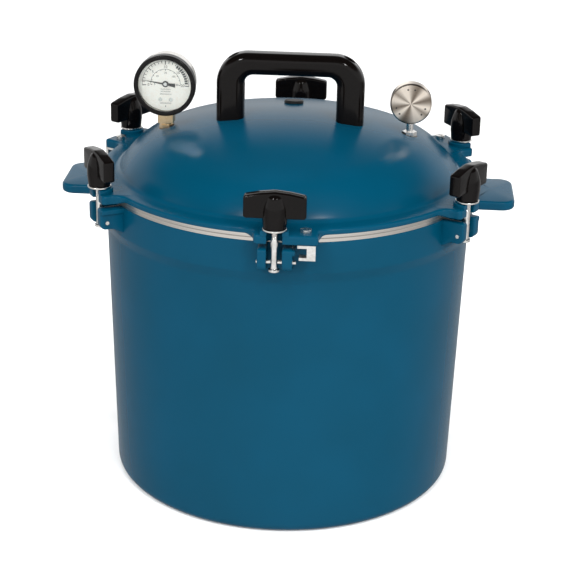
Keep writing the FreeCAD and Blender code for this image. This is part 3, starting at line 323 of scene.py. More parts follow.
CROWN_R, SHOULDER_R, LID_T, DOME_TOP = 450.0, 65.0, 6.0, 330.0
CROWN_EDGE, FLANGE_R, FLANGE_TOP, FLANGE_LOW = 108.0, 166.5, 283.6, 278.6
LUG_LOW, LUG_HALF, LUG_LONG, LUG_RISE, LID_BARE_R, LID_RIM = 276.2, 17.0, 35.0, 0.4, 164.8, 275.1
SPIGOT_R, SPIGOT_LOW = MOUTH - 0.2, 268.4
LEAN = math.asin(CROWN_EDGE / CROWN_R)
SHOULDER_X = (CROWN_R - SHOULDER_R) * math.sin(LEAN)
SHOULDER_Z = DOME_TOP - CROWN_R + (CROWN_R - SHOULDER_R) * math.cos(LEAN)


def dome_z(reach):
    """Height of the crown's outside: its sphere of radius CROWN_R at that distance from the axis."""
    return DOME_TOP - CROWN_R + np.sqrt(CROWN_R ** 2 - reach ** 2)


def dome_section(inset, low):
    """Half section from the top down to the height low: crown arc, then the shoulder arc
    tangent to it, both drawn inwards by inset."""
    a = np.linspace(0, LEAN, 14)
    foot = math.acos((low - SHOULDER_Z) / (SHOULDER_R - inset))
    b = np.linspace(LEAN, foot, 26)[1:]
    crown, shoulder = CROWN_R - inset, SHOULDER_R - inset
    return np.concatenate([
        np.stack([crown * np.sin(a), DOME_TOP - CROWN_R + crown * np.cos(a)], 1),
        np.stack([SHOULDER_X + shoulder * np.sin(b), SHOULDER_Z + shoulder * np.cos(b)], 1)])


def lug_plan(left, right):
    """One sixth of the lid's outline, centred on a bolt at the front: flange, hollow, lug,
    slot and back, as corners (x, y, rounding) from left to right."""
    deep = -(BOLT_CIRCLE - SLOT / 2)
    corners = []
    for sign, reach in ((-1, left), (1, right)):
        start = reach + 15
        part = [(sign * start, -math.sqrt(FLANGE_R ** 2 - start ** 2), 0),
                (sign * reach, -math.sqrt(FLANGE_R ** 2 - reach ** 2) - 0.3, 11),
                (sign * reach, -LUG_OUT, 3.5), (sign * SLOT / 2, -LUG_OUT, 1),
                (sign * SLOT / 2, deep, SLOT / 2 - 0.1)]
        corners += part if sign < 0 else part[::-1]
    return corners


half_turn = math.pi / CLAMPS
sectors, turns = [], []
for clamp in range(CLAMPS):
    corners = lug_plan(LUG_HALF, LUG_LONG if clamp % 2 == 0 else LUG_HALF)
    points = rounded(corners, step=0.16, run=3)
    ends = [math.atan2(p[0], -p[1]) for p in (points[0], points[-1])]
    before = np.linspace(-half_turn, ends[0], 9)[:-1]
    after = np.linspace(ends[1], half_turn, 9)[1:-1]
    arc = [np.stack([FLANGE_R * np.sin(a), -FLANGE_R * np.cos(a)], 1) for a in (before, after)]
    points = np.concatenate([arc[0], points, arc[1]])
    walked = np.cumsum(np.linalg.norm(np.diff(points, axis=0, prepend=points[:1]), axis=1))
    evenly = walked / (walked[-1] + walked[1]) * 2 * half_turn - half_turn
    angle = np.arctan2(points[:, 0], -points[:, 1])
    turns.append(np.radians(CLAMP_TURN * clamp - 90) + (evenly + angle) / 2)
    sectors.append(turned(np.column_stack([points, 0 * angle]), CLAMP_TURN * clamp)[:, :2])
outline, turn = np.concatenate(sectors), np.concatenate(turns)
circle = np.stack([np.cos(turn), np.sin(turn)], 1)
reach = np.linalg.norm(outline, axis=1)

FOOT_ROUND, FOOT_UP, FOOT_RUN = 6.0, 3.4, 8.0
foot_a = math.acos((FLANGE_TOP - SHOULDER_Z) / SHOULDER_R)
foot_r = SHOULDER_X + SHOULDER_R * math.sin(foot_a)
dome = dome_section(0, FLANGE_TOP + FOOT_UP)
dome = np.concatenate([dome[:-1], rounded([tuple(dome[-1]), (foot_r, FLANGE_TOP, FOOT_ROUND),
                                           (foot_r + FOOT_RUN, FLANGE_TOP)], step=0.12)])
lid_rows = [np.column_stack([circle * r, np.full(len(turn), z)]) for r, z in dome]

ahead, back = np.roll(outline, -1, 0) - outline, outline - np.roll(outline, 1, 0)
along = ahead / np.linalg.norm(ahead, axis=1)[:, None] + back / np.linalg.norm(back, axis=1)[:, None]
along /= np.linalg.norm(along, axis=1)[:, None]
inward = np.stack([-along[:, 1], along[:, 0]], 1)
BLEND_FROM, BLEND_RUN = 0.5, 5.0
lug_share = np.clip((reach - FLANGE_R - BLEND_FROM) / BLEND_RUN, 0, 1)
lug_share = lug_share * lug_share * (3 - 2 * lug_share)
under = FLANGE_LOW + (LUG_LOW - FLANGE_LOW) * lug_share
top = FLANGE_TOP + LUG_RISE * lug_share
EDGE_TOP, EDGE_LOW = 2.2, 1.0
for q in np.linspace(0, math.pi / 2, 6):
    lid_rows.append(np.column_stack([outline + inward * EDGE_TOP * (1 - math.sin(q)),
                                     top - EDGE_TOP * (1 - math.cos(q))]))
for q in np.linspace(0, math.pi / 2, 4):
    lid_rows.append(np.column_stack([outline + inward * EDGE_LOW * (1 - math.cos(q)),
                                     under + EDGE_LOW * (1 - math.sin(q))]))
for share in (0.5, 1.0):
    lid_rows.append(np.column_stack([(outline + inward * EDGE_LOW) * (1 - share)
                                     + circle * LID_BARE_R * share,
                                     under + (FLANGE_LOW - under) * share]))
paint_end = len(lid_rows) - 1
below = np.concatenate([
    rounded([(LID_BARE_R, FLANGE_LOW), (LID_BARE_R, LID_RIM, 0.9), (SPIGOT_R + SEAT_WIDE, LID_RIM, 0.4),
             (SPIGOT_R, SPIGOT_LOW, 0.6), (SPIGOT_R - 6, SPIGOT_LOW)])[1:],
    dome_section(LID_T, SPIGOT_LOW)[::-1]])
lid_rows += [np.column_stack([circle * r, np.full(len(turn), z)]) for r, z in below]
lid_shell = skin("lid_shell", np.stack(lid_rows), [enamel, bare], [paint_end], sharp=40)


# ================================================================ raised Cs and inside bosses
# A raised C round each bolt slot carries the washer. Inside the dome, round bosses take the
# threads of the gauge, the vent pipe and the two handle screws. All are cast with the lid.

def combined(piece, cutters, operation, finishes):
    """The piece with the cutters taken away from it, or joined to it, as one clean mesh."""
    for cutter in cutters:
        change = piece.modifiers.new("change", "BOOLEAN")
        change.operation, change.object, change.solver = operation, cutter, "EXACT"
    bpy.context.view_layer.update()
    ready = piece.evaluated_get(bpy.context.evaluated_depsgraph_get())
    mesh = bpy.data.meshes.new_from_object(ready)
    name = piece.name
    for old in [piece, *cutters]:
        bpy.data.objects.remove(old)
    return show(name, mesh, finishes)


def swept(path, section):
    """A bar with a constant section: the closed section (across, height) carried along a plan
    path on its own normals, and closed on its middle at both ends."""
    ahead = np.gradient(path, axis=0)
    ahead /= np.linalg.norm(ahead, axis=1)[:, None]
    across = np.stack([-ahead[:, 1], ahead[:, 0]], 1)
    flat = path[:, None, :] + across[:, None, :] * section[None, :, :1]
    grid = np.concatenate([flat, np.tile(section[None, :, 1:], (len(path), 1, 1))], -1)
    ends = [np.tile(row.mean(0), (len(section), 1))[None] for row in (grid[0], grid[-1])]
    return np.concatenate([ends[0], grid, ends[1]])


BOSS_R, BOSS_TOP, LUG_TOP = 11.5, 287.2, 284.0
C_MIDDLE, C_HALF = (BOSS_R + SLOT / 2) / 2, (BOSS_R - SLOT / 2) / 2
c_section = loop([(C_HALF, LUG_TOP - 1), (C_HALF, BOSS_TOP, 1.1), (-C_HALF, BOSS_TOP, 1.1),
                  (-C_HALF, LUG_TOP - 1)], run=2)
bend = np.linspace(0, math.pi, 25)
c_path = np.stack([C_MIDDLE * np.cos(bend), -BOLT_CIRCLE + C_MIDDLE * np.sin(bend)], 1)
c_path = np.concatenate([[(C_MIDDLE, -LUG_OUT)], c_path, [(-C_MIDDLE, -LUG_OUT)]])
bosses = [skin("boss", turned(swept(c_path, c_section), CLAMP_TURN * clamp), [enamel])
          for clamp in range(CLAMPS)]
GAUGE_X, VENT_X, HANDLE_SCREW_X = 109.0, 105.0, 50.5
FITTING_BOSS_R, SCREW_BOSS_R, BOSS_DEEP = 9.0, 8.0, 12.0
for x, radius in ((-GAUGE_X, FITTING_BOSS_R), (VENT_X, FITTING_BOSS_R), (HANDLE_SCREW_X, SCREW_BOSS_R),
                  (-HANDLE_SCREW_X, SCREW_BOSS_R)):
    high = float(dome_z(abs(x))) - LID_T / 2
    column = rounded([(0, high), (radius, high), (radius, high - BOSS_DEEP, 1.5), (0, high - BOSS_DEEP)])
    bosses.append(skin("boss", lathe(column, 40, x), [enamel]))
rides(merged("lid_bosses", bosses, [enamel]), "lid", "painted_aluminium")

SPOT_R, SPOT_UP, GAUGE_SPOT, VENT_SPOT = 7.0, 12.0, 313.8, 315.2
cutters = []
for x, low in ((-GAUGE_X, GAUGE_SPOT), (VENT_X, VENT_SPOT)):
    column = np.array([(0, low), (SPOT_R, low), (SPOT_R, low + SPOT_UP), (0, low + SPOT_UP)])
    cutters.append(skin("cutter", lathe(column, 48, x), [bare]))
lid_shell = combined(lid_shell, cutters, "DIFFERENCE", [enamel, bare])
rides(lid_shell, "lid", "painted_aluminium", "lid_casting")


# ================================================================ top handle
# One compression moulding of phenolic resin, brown-black and glossy, with its legs shaped to
# the dome and a recess over each screw.

def phenolic_gloss():
    """Phenolic resin pressed in a polished mould: brown-black, glossy, with a faint mottle of
    its wood-flour filler 1.5 mm wide and rubbing marks 9 mm wide that blur the highlight. Its
    specular level is low, so it stays near black in the white room."""
    made, tree = material("phenolic_from_polished_mould")
    at = node(tree, "ShaderNodeTexCoord").outputs["Object"]
    filler = node(tree, "ShaderNodeTexNoise", {"Vector": at, "Scale": 1 / (1.5 * MM), "Detail": 3})
    rub = node(tree, "ShaderNodeTexNoise", {"Vector": at, "Scale": 1 / (9 * MM), "Detail": 3})
    bump = node(tree, "ShaderNodeBump", {
        "Height": rub.outputs["Fac"], "Strength": 0.05, "Distance": 0.2 * MM})
    haze = node(tree, "ShaderNodeMapRange", {"Value": rub.outputs["Fac"], 3: 0.08, 4: 0.16})
    colour = node(tree, "ShaderNodeMix", {
        0: filler.outputs["Fac"], 6: linear("#020101"), 7: linear("#0a0706")}, data_type="RGBA")
    shader = node(tree, "ShaderNodeBsdfPrincipled", {
        "Base Color": colour.outputs[2], "Roughness": haze.outputs[0], "Normal": bump.outputs[0],
        "IOR": 1.6, "Specular IOR Level": 0.14})
    node(tree, "ShaderNodeOutputMaterial", {"Surface": shader.outputs[0]})
    return made


phenolic = phenolic_gloss()
HANDLE_HALF, HANDLE_GAP, HANDLE_TOP, GRIP_LOW = 64.5, 40.3, 386.0, 367.0
HANDLE_W, HANDLE_ROUND, LEG_FOOT, OUTER_BEND, INNER_BEND = 22.0, 7.0, 318.0, 27.0, 8.0
FOOT_GAP, SCREW_SEAT, RECESS_R = 0.05, 344.0, 5.0


def leg_path(half, top, corner):
    """A rounded gateway (x, z): up the left leg, over the grip and down the right leg."""
    q = np.linspace(0, math.pi / 2, 15)
    up = np.linspace(LEG_FOOT, top - corner, 13)[:-1]
    over = np.linspace(-half + corner, half - corner, 17)[1:-1]
    left = np.concatenate([
        np.stack([np.full(len(up), -half), up], 1),
        np.stack([-half + corner * (1 - np.cos(q)), top - corner * (1 - np.sin(q))], 1)])
    right = left[::-1] * (-1, 1)
    return np.concatenate([left, np.stack([over, np.full(len(over), top)], 1), right])


outer = leg_path(HANDLE_HALF, HANDLE_TOP, OUTER_BEND)
inner = leg_path(HANDLE_GAP, GRIP_LOW, INNER_BEND)
middle, outwards = (outer + inner) / 2, (outer - inner) / 2
thick = np.linalg.norm(outwards, axis=1)[:, None]
CUTS = 9
# Each bar section is four quarter circles of radius HANDLE_ROUND, pushed out to its four corners.
corner_a = np.radians(np.repeat([0, 90, 180, 270], CUTS) + np.tile(np.linspace(0, 90, CUTS), 4))
corner_way = corner_a.reshape(4, CUTS).mean(1)
round_a = HANDLE_ROUND * np.cos(corner_a) \
    + np.sign(np.cos(corner_way)).repeat(CUTS) * (thick - HANDLE_ROUND)
round_b = HANDLE_ROUND * np.sin(corner_a) \
    + np.sign(np.sin(corner_way)).repeat(CUTS) * (HANDLE_W / 2 - HANDLE_ROUND)
flat = middle[:, None, :] + (outwards / thick)[:, None, :] * round_a[..., None]
grid = np.stack([flat[..., 0], round_b + 0 * round_a, flat[..., 1]], -1)
for end in (0, -1):
    grid[end, :, 2] = dome_z(np.hypot(grid[end, :, 0], grid[end, :, 1])) + FOOT_GAP
ends = [np.tile(row.mean(0), (len(corner_a), 1))[None] for row in (grid[0], grid[-1])]
top_handle = skin("top_handle_grip", np.concatenate([ends[0], grid, ends[1]]), [phenolic])
above = HANDLE_TOP + 6
recess = np.array([(0, SCREW_SEAT), (RECESS_R, SCREW_SEAT), (RECESS_R, above), (0, above)])
cutters = [skin("cutter", lathe(recess, 40, x), [phenolic]) for x in (HANDLE_SCREW_X, -HANDLE_SCREW_X)]
top_handle = combined(top_handle, cutters, "DIFFERENCE", [phenolic])
rides(top_handle, "lid", "phenolic", "top_handle")


# ================================================================ steel fittings
# Hinge pins, screws, brackets and washers are cold-formed steel, tumbled and zinc plated. The
# vent pipe is turned and plated the same way. The rack is stamped from aluminium sheet.

def plated_steel():
    """Cold-formed steel with bright zinc plating: light and a little blue, with a soft mottle
    4 mm wide and tumbling scratches that blur what it reflects."""
    made, tree = material("bright_zinc_plated_steel")
    at = node(tree, "ShaderNodeTexCoord").outputs["Object"]
    mottle = node(tree, "ShaderNodeTexNoise", {"Vector": at, "Scale": 1 / (4 * MM), "Detail": 4})
    scratch = node(tree, "ShaderNodeTexNoise", {"Vector": at, "Scale": 1 / (0.5 * MM), "Detail": 2})
    bump = node(tree, "ShaderNodeBump", {
        "Height": scratch.outputs["Fac"], "Strength": 0.12, "Distance": 0.03 * MM})
    haze = node(tree, "ShaderNodeMapRange", {"Value": mottle.outputs["Fac"], 3: 0.18, 4: 0.32})
    colour = node(tree, "ShaderNodeMix", {
        0: mottle.outputs["Fac"], 6: linear("#b9b5ac"), 7: linear("#ffffff")}, data_type="RGBA")
    shader = node(tree, "ShaderNodeBsdfPrincipled", {
        "Base Color": colour.outputs[2], "Metallic": 1.0, "Roughness": haze.outputs[0],
        "Normal": bump.outputs[0]})
    node(tree, "ShaderNodeOutputMaterial", {"Surface": shader.outputs[0]})
    return made


steel = plated_steel()


def dress(name, finishing):
    """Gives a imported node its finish."""
    nodes[name].data.materials.clear()
    nodes[name].data.materials.append(finishing)


for name in ("hinge_pins", "handle_screws", "bracket_screws", "stop_brackets", "vent_pipe",
             "dial_screws"):
    dress(name, steel)
for clamp in range(1, CLAMPS + 1):
    dress(f"washer_{clamp}", steel)
dress("rack", bare)


# ================================================================ swing bolts
# Each bolt is a steel rod with a rolled thread above the lug and a round foot that turns on
# the hinge pin.

ROD_R, ROD_TOP, THREAD_LOW, PITCH, THREAD_DEEP, CREST = 3.2, 311.4, 279.0, 1.27, 0.45, 1.3
FOOT_R, FOOT_LOW, FOOT_T = 4.75, 252.2, 2.6
at_a = np.linspace(0, 2 * math.pi, 28, endpoint=False)
shank = rounded([(0, FOOT_LOW), (FOOT_R, FOOT_LOW, 0.9), (FOOT_R, FOOT_LOW + FOOT_T, 0.9),
                 (ROD_R, FOOT_LOW + FOOT_T, 0.5), (ROD_R, THREAD_LOW)], run=2)
# The thread is a helix cut into the rod: its depth is a triangle wave of height / PITCH less the
# share of a turn, and CREST above 1 rounds its crests. It fades in over its first pitch.
climb = np.arange(THREAD_LOW, ROD_TOP - 0.8, PITCH / 8)[1:]
tip = np.array([(ROD_R - 0.4, ROD_TOP - 0.4), (ROD_R - 0.9, ROD_TOP), (0, ROD_TOP)])
phase = (climb[:, None] / PITCH - at_a[None, :] / (2 * math.pi)) % 1
start = np.clip((climb[:, None] - THREAD_LOW) / PITCH, 0, 1)
radius = ROD_R - THREAD_DEEP * start * np.abs(2 * phase - 1) ** CREST
thread = np.stack([radius * np.cos(at_a), radius * np.sin(at_a), climb[:, None] + 0 * radius], -1)
bolt_grid = np.concatenate([lathe(shank, len(at_a)), thread, lathe(tip, len(at_a))])
for clamp in range(CLAMPS):
    piece = skin(f"threaded_bolt_{clamp + 1}", turned(bolt_grid + (0, -BOLT_CIRCLE, 0), CLAMP_TURN * clamp),
                 [steel], sharp=50)
    rides(piece, f"bolt_{clamp + 1}", "bright_steel", f"swing_bolt_{clamp + 1}")


# ================================================================ wing knobs
# Six knobs pressed from the same phenolic as the handle, each with a barrel hub between two
# wings, moulded round a brass insert.

KNOB_Z, WING_HALF, WING_T, WING_LOW, WING_END, WING_MID = 289.35, 25.0, 9.6, 8.4, 26.6, 30.4
WING_EDGE, HUB_FOOT, HUB_R, HUB_CROWN, HUB_TOP, INSERT_R, INSERT_UP = 1.7, 9.3, 10.2, 6.3, 28.9, 5.4, 20.0
wings = loop([(-WING_HALF, WING_LOW, 2.4), (WING_HALF, WING_LOW, 2.4), (WING_HALF, WING_END, 2.4),
              (WING_HALF / 2, WING_MID - 1.3, 30), (0, WING_MID, 12),
              (-WING_HALF / 2, WING_MID - 1.3, 30), (-WING_HALF, WING_END, 2.4)], step=0.12, run=4)
wings = plate(wings, -WING_T / 2, WING_T / 2, WING_EDGE, 5)
wings = np.stack([wings[..., 0], wings[..., 2], wings[..., 1]], -1)
hub = rounded([(INSERT_R, 0), (HUB_FOOT, 0, 0.8), (HUB_R, WING_LOW, 8), (HUB_R, 16.5, 20),
               (HUB_CROWN, HUB_TOP, 6), (0, HUB_TOP)], step=0.1, run=3)
hub = np.concatenate([[(0, INSERT_UP), (INSERT_R, INSERT_UP)], hub])
for clamp in range(CLAMPS):
    move = (0, -BOLT_CIRCLE, KNOB_Z)
    piece = skin(f"wing_grip_{clamp + 1}", turned(lathe(hub, 64) + move, CLAMP_TURN * clamp), [phenolic])
    blade = skin("blade", turned(wings + move, CLAMP_TURN * clamp), [phenolic])
    piece = combined(piece, [blade], "UNION", [phenolic])
    rides(piece, f"knob_{clamp + 1}", "phenolic", f"wing_knob_{clamp + 1}")


# ================================================================ brass fittings
# The threaded inserts moulded into the knobs, and the gauge's stem, movement and pressure
# tube, are free-cutting brass: turned and tapped, or drawn and bent.

def turned_brass():
    """Free-cutting brass straight from the lathe: warm yellow, softly bright, dulled a little
    in patches 5 mm wide where it has been handled."""
    made, tree = material("turned_brass")
    at = node(tree, "ShaderNodeTexCoord").outputs["Object"]
    dull = node(tree, "ShaderNodeTexNoise", {"Vector": at, "Scale": 1 / (5 * MM), "Detail": 3})
    marks = node(tree, "ShaderNodeTexNoise", {"Vector": at, "Scale": 1 / (0.4 * MM), "Detail": 1})
    bump = node(tree, "ShaderNodeBump", {
        "Height": marks.outputs["Fac"], "Strength": 0.15, "Distance": 0.03 * MM})
    haze = node(tree, "ShaderNodeMapRange", {"Value": dull.outputs["Fac"], 3: 0.22, 4: 0.40})
    colour = node(tree, "ShaderNodeMix", {
        0: dull.outputs["Fac"], 6: linear("#b68e5a"), 7: linear("#ffedc8")}, data_type="RGBA")
    shader = node(tree, "ShaderNodeBsdfPrincipled", {
        "Base Color": colour.outputs[2], "Metallic": 1.0, "Roughness": haze.outputs[0],
        "Normal": bump.outputs[0]})
    node(tree, "ShaderNodeOutputMaterial", {"Surface": shader.outputs[0]})
    return made


brass = turned_brass()
for name in ["gauge_stem", "gauge_movement", "bourdon_tube"] + \
        [f"knob_insert_{clamp}" for clamp in range(1, CLAMPS + 1)]:
    dress(name, brass)


# ================================================================ regulator weight
# A stainless steel disc, face-turned on both sides, with a bevelled rim and three holes bored
# in from its edge. It hangs on the vent pipe by one of them.

WEIGHT_Z, WEIGHT_R, WEIGHT_T, BEVEL = 346.04, 18.0, 12.0, 1.2
BORE_R, BORE_IN, BORE_OUT, MARK_R, MARK_RING, MARK_SIDE = 3.3, 8.0, 20.0, 0.8, 13.0, 3.0


def face_turned_stainless():
    """Stainless steel faced on a lathe: fine rings round the disc's own axis stretch each
    highlight into bright wedges. Painted highlights, bright wedges fixed on three diameters,
    are added to the colour. The rings are drawn every 0.5 mm, coarser than the real ones, so that they
    show."""
    made, tree = material("face_turned_stainless_with_painted_glints")
    at = node(tree, "ShaderNodeTexCoord").outputs["Object"]
    centre = node(tree, "ShaderNodeVectorMath", {
        0: at, 1: (VENT_X * MM, 0, WEIGHT_Z * MM)}, operation="SUBTRACT").outputs[0]
    flat = node(tree, "ShaderNodeVectorMath", {0: centre, 1: (1, 0, 1)}, operation="MULTIPLY")
    reach = node(tree, "ShaderNodeVectorMath", {0: flat.outputs[0]}, operation="LENGTH")
    rings = node(tree, "ShaderNodeTexNoise", {
        "W": reach.outputs["Value"], "Scale": 1 / (0.5 * MM), "Detail": 2}, noise_dimensions="1D")
    bump = node(tree, "ShaderNodeBump", {
        "Height": rings.outputs["Fac"], "Strength": 0.2, "Distance": 0.03 * MM})
    round_way = node(tree, "ShaderNodeVectorMath", {
        0: (0, 1, 0), 1: flat.outputs[0]}, operation="CROSS_PRODUCT")
    around = node(tree, "ShaderNodeVectorMath", {0: flat.outputs[0]}, operation="NORMALIZE")
    # Painted highlights: the colour is brightened in narrow wedges along three fixed diameters of the disc.
    painted_glints = []
    for way, narrow in (((-0.42, 0, 0.91), 10), ((-0.97, 0, 0.22), 22), ((0.75, 0, 0.66), 30)):
        facing = node(tree, "ShaderNodeVectorMath", {
            0: around.outputs[0], 1: way}, operation="DOT_PRODUCT")
        size = node(tree, "ShaderNodeMath", {0: facing.outputs["Value"]}, operation="ABSOLUTE")
        painted_glints.append(node(tree, "ShaderNodeMath", {0: size.outputs[0], 1: narrow}, operation="POWER"))
    brightest_painted_glint = node(tree, "ShaderNodeMath", {
        0: painted_glints[0].outputs[0], 1: painted_glints[1].outputs[0]}, operation="MAXIMUM")
    brightest_painted_glint = node(tree, "ShaderNodeMath", {
        0: brightest_painted_glint.outputs[0], 1: painted_glints[2].outputs[0]}, operation="MAXIMUM")
    rings_and_painted_glints = node(tree, "ShaderNodeMath", {
        0: rings.outputs["Fac"], 1: 0.25, 2: brightest_painted_glint.outputs[0]}, operation="MULTIPLY_ADD")
    share = node(tree, "ShaderNodeMapRange", {"Value": rings_and_painted_glints.outputs[0], 1: 0.1, 2: 1.0})
    # The colour runs from dark to bright with the tool rings and with the painted highlights.
    colour = node(tree, "ShaderNodeMix", {
        0: share.outputs[0], 6: linear("#6f6357"), 7: linear("#f2e6d8")}, data_type="RGBA")
    shader = node(tree, "ShaderNodeBsdfPrincipled", {
        "Base Color": colour.outputs[2], "Metallic": 1.0, "Roughness": 0.3, "Anisotropic": 0.85,
        "Tangent": round_way.outputs[0], "Normal": bump.outputs[0]})
    node(tree, "ShaderNodeOutputMaterial", {"Surface": shader.outputs[0]})
    return made


stainless = face_turned_stainless()
half_t = WEIGHT_T / 2
disc = rounded([(0, -half_t), (WEIGHT_R - BEVEL, -half_t, 0.3), (WEIGHT_R, -half_t + BEVEL, 0.3),
                (WEIGHT_R, half_t - BEVEL, 0.3), (WEIGHT_R - BEVEL, half_t, 0.3), (0, half_t)])
disc = lathe(disc, 120)
disc = np.stack([disc[..., 0] + VENT_X, -disc[..., 2], disc[..., 1] + WEIGHT_Z], -1)
cutters = []
for turn in (270, 30, 150):
    bore = lathe(np.array([(0, BORE_IN), (BORE_R, BORE_IN), (BORE_R, BORE_OUT), (0, BORE_OUT)]), 32)
    c, s = math.cos(math.radians(turn)), math.sin(math.radians(turn))
    bore = np.stack([bore[..., 2] * c - bore[..., 0] * s + VENT_X, bore[..., 1],
                     bore[..., 2] * s + bore[..., 0] * c + WEIGHT_Z], -1)
    cutters.append(skin("cutter", bore, [stainless]))
weight_disc = combined(skin("weight_disc", disc, [stainless]), cutters, "DIFFERENCE", [stainless])
rides(weight_disc, "weight", "turned_steel", "regulator_weight")


def stamped_ink():
    """Black ink wiped into shallow stamped marks: matt, with bare flecks 0.3 mm wide."""
    made, tree = material("ink_in_stamped_marks")
    at = node(tree, "ShaderNodeTexCoord").outputs["Object"]
    fleck = node(tree, "ShaderNodeTexNoise", {"Vector": at, "Scale": 1 / (0.3 * MM), "Detail": 1})
    colour = node(tree, "ShaderNodeMix", {
        0: fleck.outputs["Fac"], 6: linear("#000000"), 7: linear("#373635")}, data_type="RGBA")
    shader = node(tree, "ShaderNodeBsdfPrincipled", {"Base Color": colour.outputs[2], "Roughness": 0.7})
    node(tree, "ShaderNodeOutputMaterial", {"Surface": shader.outputs[0]})
    return made


ink = stamped_ink()
marks = []
for turn in (90, 210, 330):
    for along in (-MARK_SIDE, MARK_SIDE):
        a = math.radians(turn) + along / MARK_RING
        dot = lathe(np.array([(0, -0.05), (MARK_R, -0.05), (MARK_R, 0.0), (0, 0.04)]), 16)
        dot = np.stack([dot[..., 0] + VENT_X + MARK_RING * math.cos(a), -half_t - dot[..., 2],
                        dot[..., 1] + WEIGHT_Z + MARK_RING * math.sin(a)], -1)
        marks.append(skin("mark", dot, [ink]))
rides(merged("weight_marks", marks, [ink]), "weight", "turned_steel")


# ================================================================ overpressure plug
# A black rubber plug behind the handle, pressed in its mould and pushed into the dome. It
# pops out if pressure climbs. The dome's hole under it is not cut in this model.

def moulded_rubber():
    """Nitrile rubber from a blasted mould: matt black, bloomed a little grey in clouds 6 mm
    wide, with the mould's grain 0.6 mm wide."""
    made, tree = material("moulded_nitrile_rubber")
    at = node(tree, "ShaderNodeTexCoord").outputs["Object"]
    bloom = node(tree, "ShaderNodeTexNoise", {"Vector": at, "Scale": 1 / (6 * MM), "Detail": 3})
    grain = node(tree, "ShaderNodeTexNoise", {"Vector": at, "Scale": 1 / (0.6 * MM), "Detail": 2})
    bump = node(tree, "ShaderNodeBump", {
        "Height": grain.outputs["Fac"], "Strength": 0.3, "Distance": 0.05 * MM})
    colour = node(tree, "ShaderNodeMix", {
        0: bloom.outputs["Fac"], 6: linear("#020202"), 7: linear("#181818")}, data_type="RGBA")
    shader = node(tree, "ShaderNodeBsdfPrincipled", {
        "Base Color": colour.outputs[2], "Roughness": 0.55, "Normal": bump.outputs[0], "IOR": 1.5})
    node(tree, "ShaderNodeOutputMaterial", {"Surface": shader.outputs[0]})
    return made


dress("overpressure_plug", moulded_rubber())


# ================================================================ pressure gauge
# A drawn and polished metal case on a brass stem, a black ABS bezel, an acrylic lens, and
# a white printed dial held by two screws. The pointer turns on the movement's arbor.

def gauge_plastic():
    """ABS moulded glossy black, with slight flow ripples 5 mm wide, and a low specular level
    that keeps it near black in the white room."""
    made, tree = material("moulded_black_abs")
    at = node(tree, "ShaderNodeTexCoord").outputs["Object"]
    flow = node(tree, "ShaderNodeTexNoise", {"Vector": at, "Scale": 1 / (5 * MM), "Detail": 2})
    bump = node(tree, "ShaderNodeBump", {
        "Height": flow.outputs["Fac"], "Strength": 0.06, "Distance": 0.1 * MM})
    colour = node(tree, "ShaderNodeMix", {
        0: flow.outputs["Fac"], 6: linear("#020103"), 7: linear("#141312")}, data_type="RGBA")
    shader = node(tree, "ShaderNodeBsdfPrincipled", {
        "Base Color": colour.outputs[2], "Roughness": 0.22, "Normal": bump.outputs[0], "IOR": 1.53,
        "Specular IOR Level": 0.15})
    node(tree, "ShaderNodeOutputMaterial", {"Surface": shader.outputs[0]})
    return made


def drawn_case():
    """Stainless steel drawn and polished: nearly a mirror, with fine hazy streaks 8 mm wide."""
    made, tree = material("drawn_polished_stainless")
    at = node(tree, "ShaderNodeTexCoord").outputs["Object"]
    streak = node(tree, "ShaderNodeTexNoise", {"Vector": at, "Scale": 1 / (8 * MM), "Detail": 4})
    haze = node(tree, "ShaderNodeMapRange", {"Value": streak.outputs["Fac"], 3: 0.08, 4: 0.2})
    colour = node(tree, "ShaderNodeMix", {
        0: streak.outputs["Fac"], 6: linear("#b1aea9"), 7: linear("#efece7")}, data_type="RGBA")
    shader = node(tree, "ShaderNodeBsdfPrincipled", {
        "Base Color": colour.outputs[2], "Metallic": 1.0, "Roughness": haze.outputs[0]})
    node(tree, "ShaderNodeOutputMaterial", {"Surface": shader.outputs[0]})
    return made


def acrylic():
    """Clear cast acrylic, thin enough to pass light straight on: its two faces give a hard
    gloss that grows towards grazing, with the faintest haze in clouds 12 mm wide."""
    made, tree = material("clear_acrylic")
    at = node(tree, "ShaderNodeTexCoord").outputs["Object"]
    cloud = node(tree, "ShaderNodeTexNoise", {"Vector": at, "Scale": 1 / (12 * MM), "Detail": 2})
    haze = node(tree, "ShaderNodeMapRange", {"Value": cloud.outputs["Fac"], 3: 0.0, 4: 0.04})
    clear = node(tree, "ShaderNodeBsdfTransparent", {"Color": linear("#fbfdfd")})
    shine = node(tree, "ShaderNodeBsdfPrincipled", {
        "Metallic": 1.0, "Roughness": haze.outputs[0], "Base Color": linear("#fbfdfd")})
    share = node(tree, "ShaderNodeFresnel", {"IOR": 1.49})
    both = node(tree, "ShaderNodeMixShader", {
        0: share.outputs[0], 1: clear.outputs[0], 2: shine.outputs[0]})
    node(tree, "ShaderNodeOutputMaterial", {"Surface": both.outputs[0]})
    return made


def dial_paint():
    """White enamel printed on aluminium sheet: matt, with a paper-like unevenness 2 mm wide."""
    made, tree = material("white_printed_dial")
    at = node(tree, "ShaderNodeTexCoord").outputs["Object"]
    cloud = node(tree, "ShaderNodeTexNoise", {"Vector": at, "Scale": 1 / (2 * MM), "Detail": 2})
    colour = node(tree, "ShaderNodeMix", {
        0: cloud.outputs["Fac"], 6: linear("#f7eade"), 7: linear("#fffffb")}, data_type="RGBA")
    shader = node(tree, "ShaderNodeBsdfPrincipled", {"Base Color": colour.outputs[2], "Roughness": 0.5})
    node(tree, "ShaderNodeOutputMaterial", {"Surface": shader.outputs[0]})
    return made


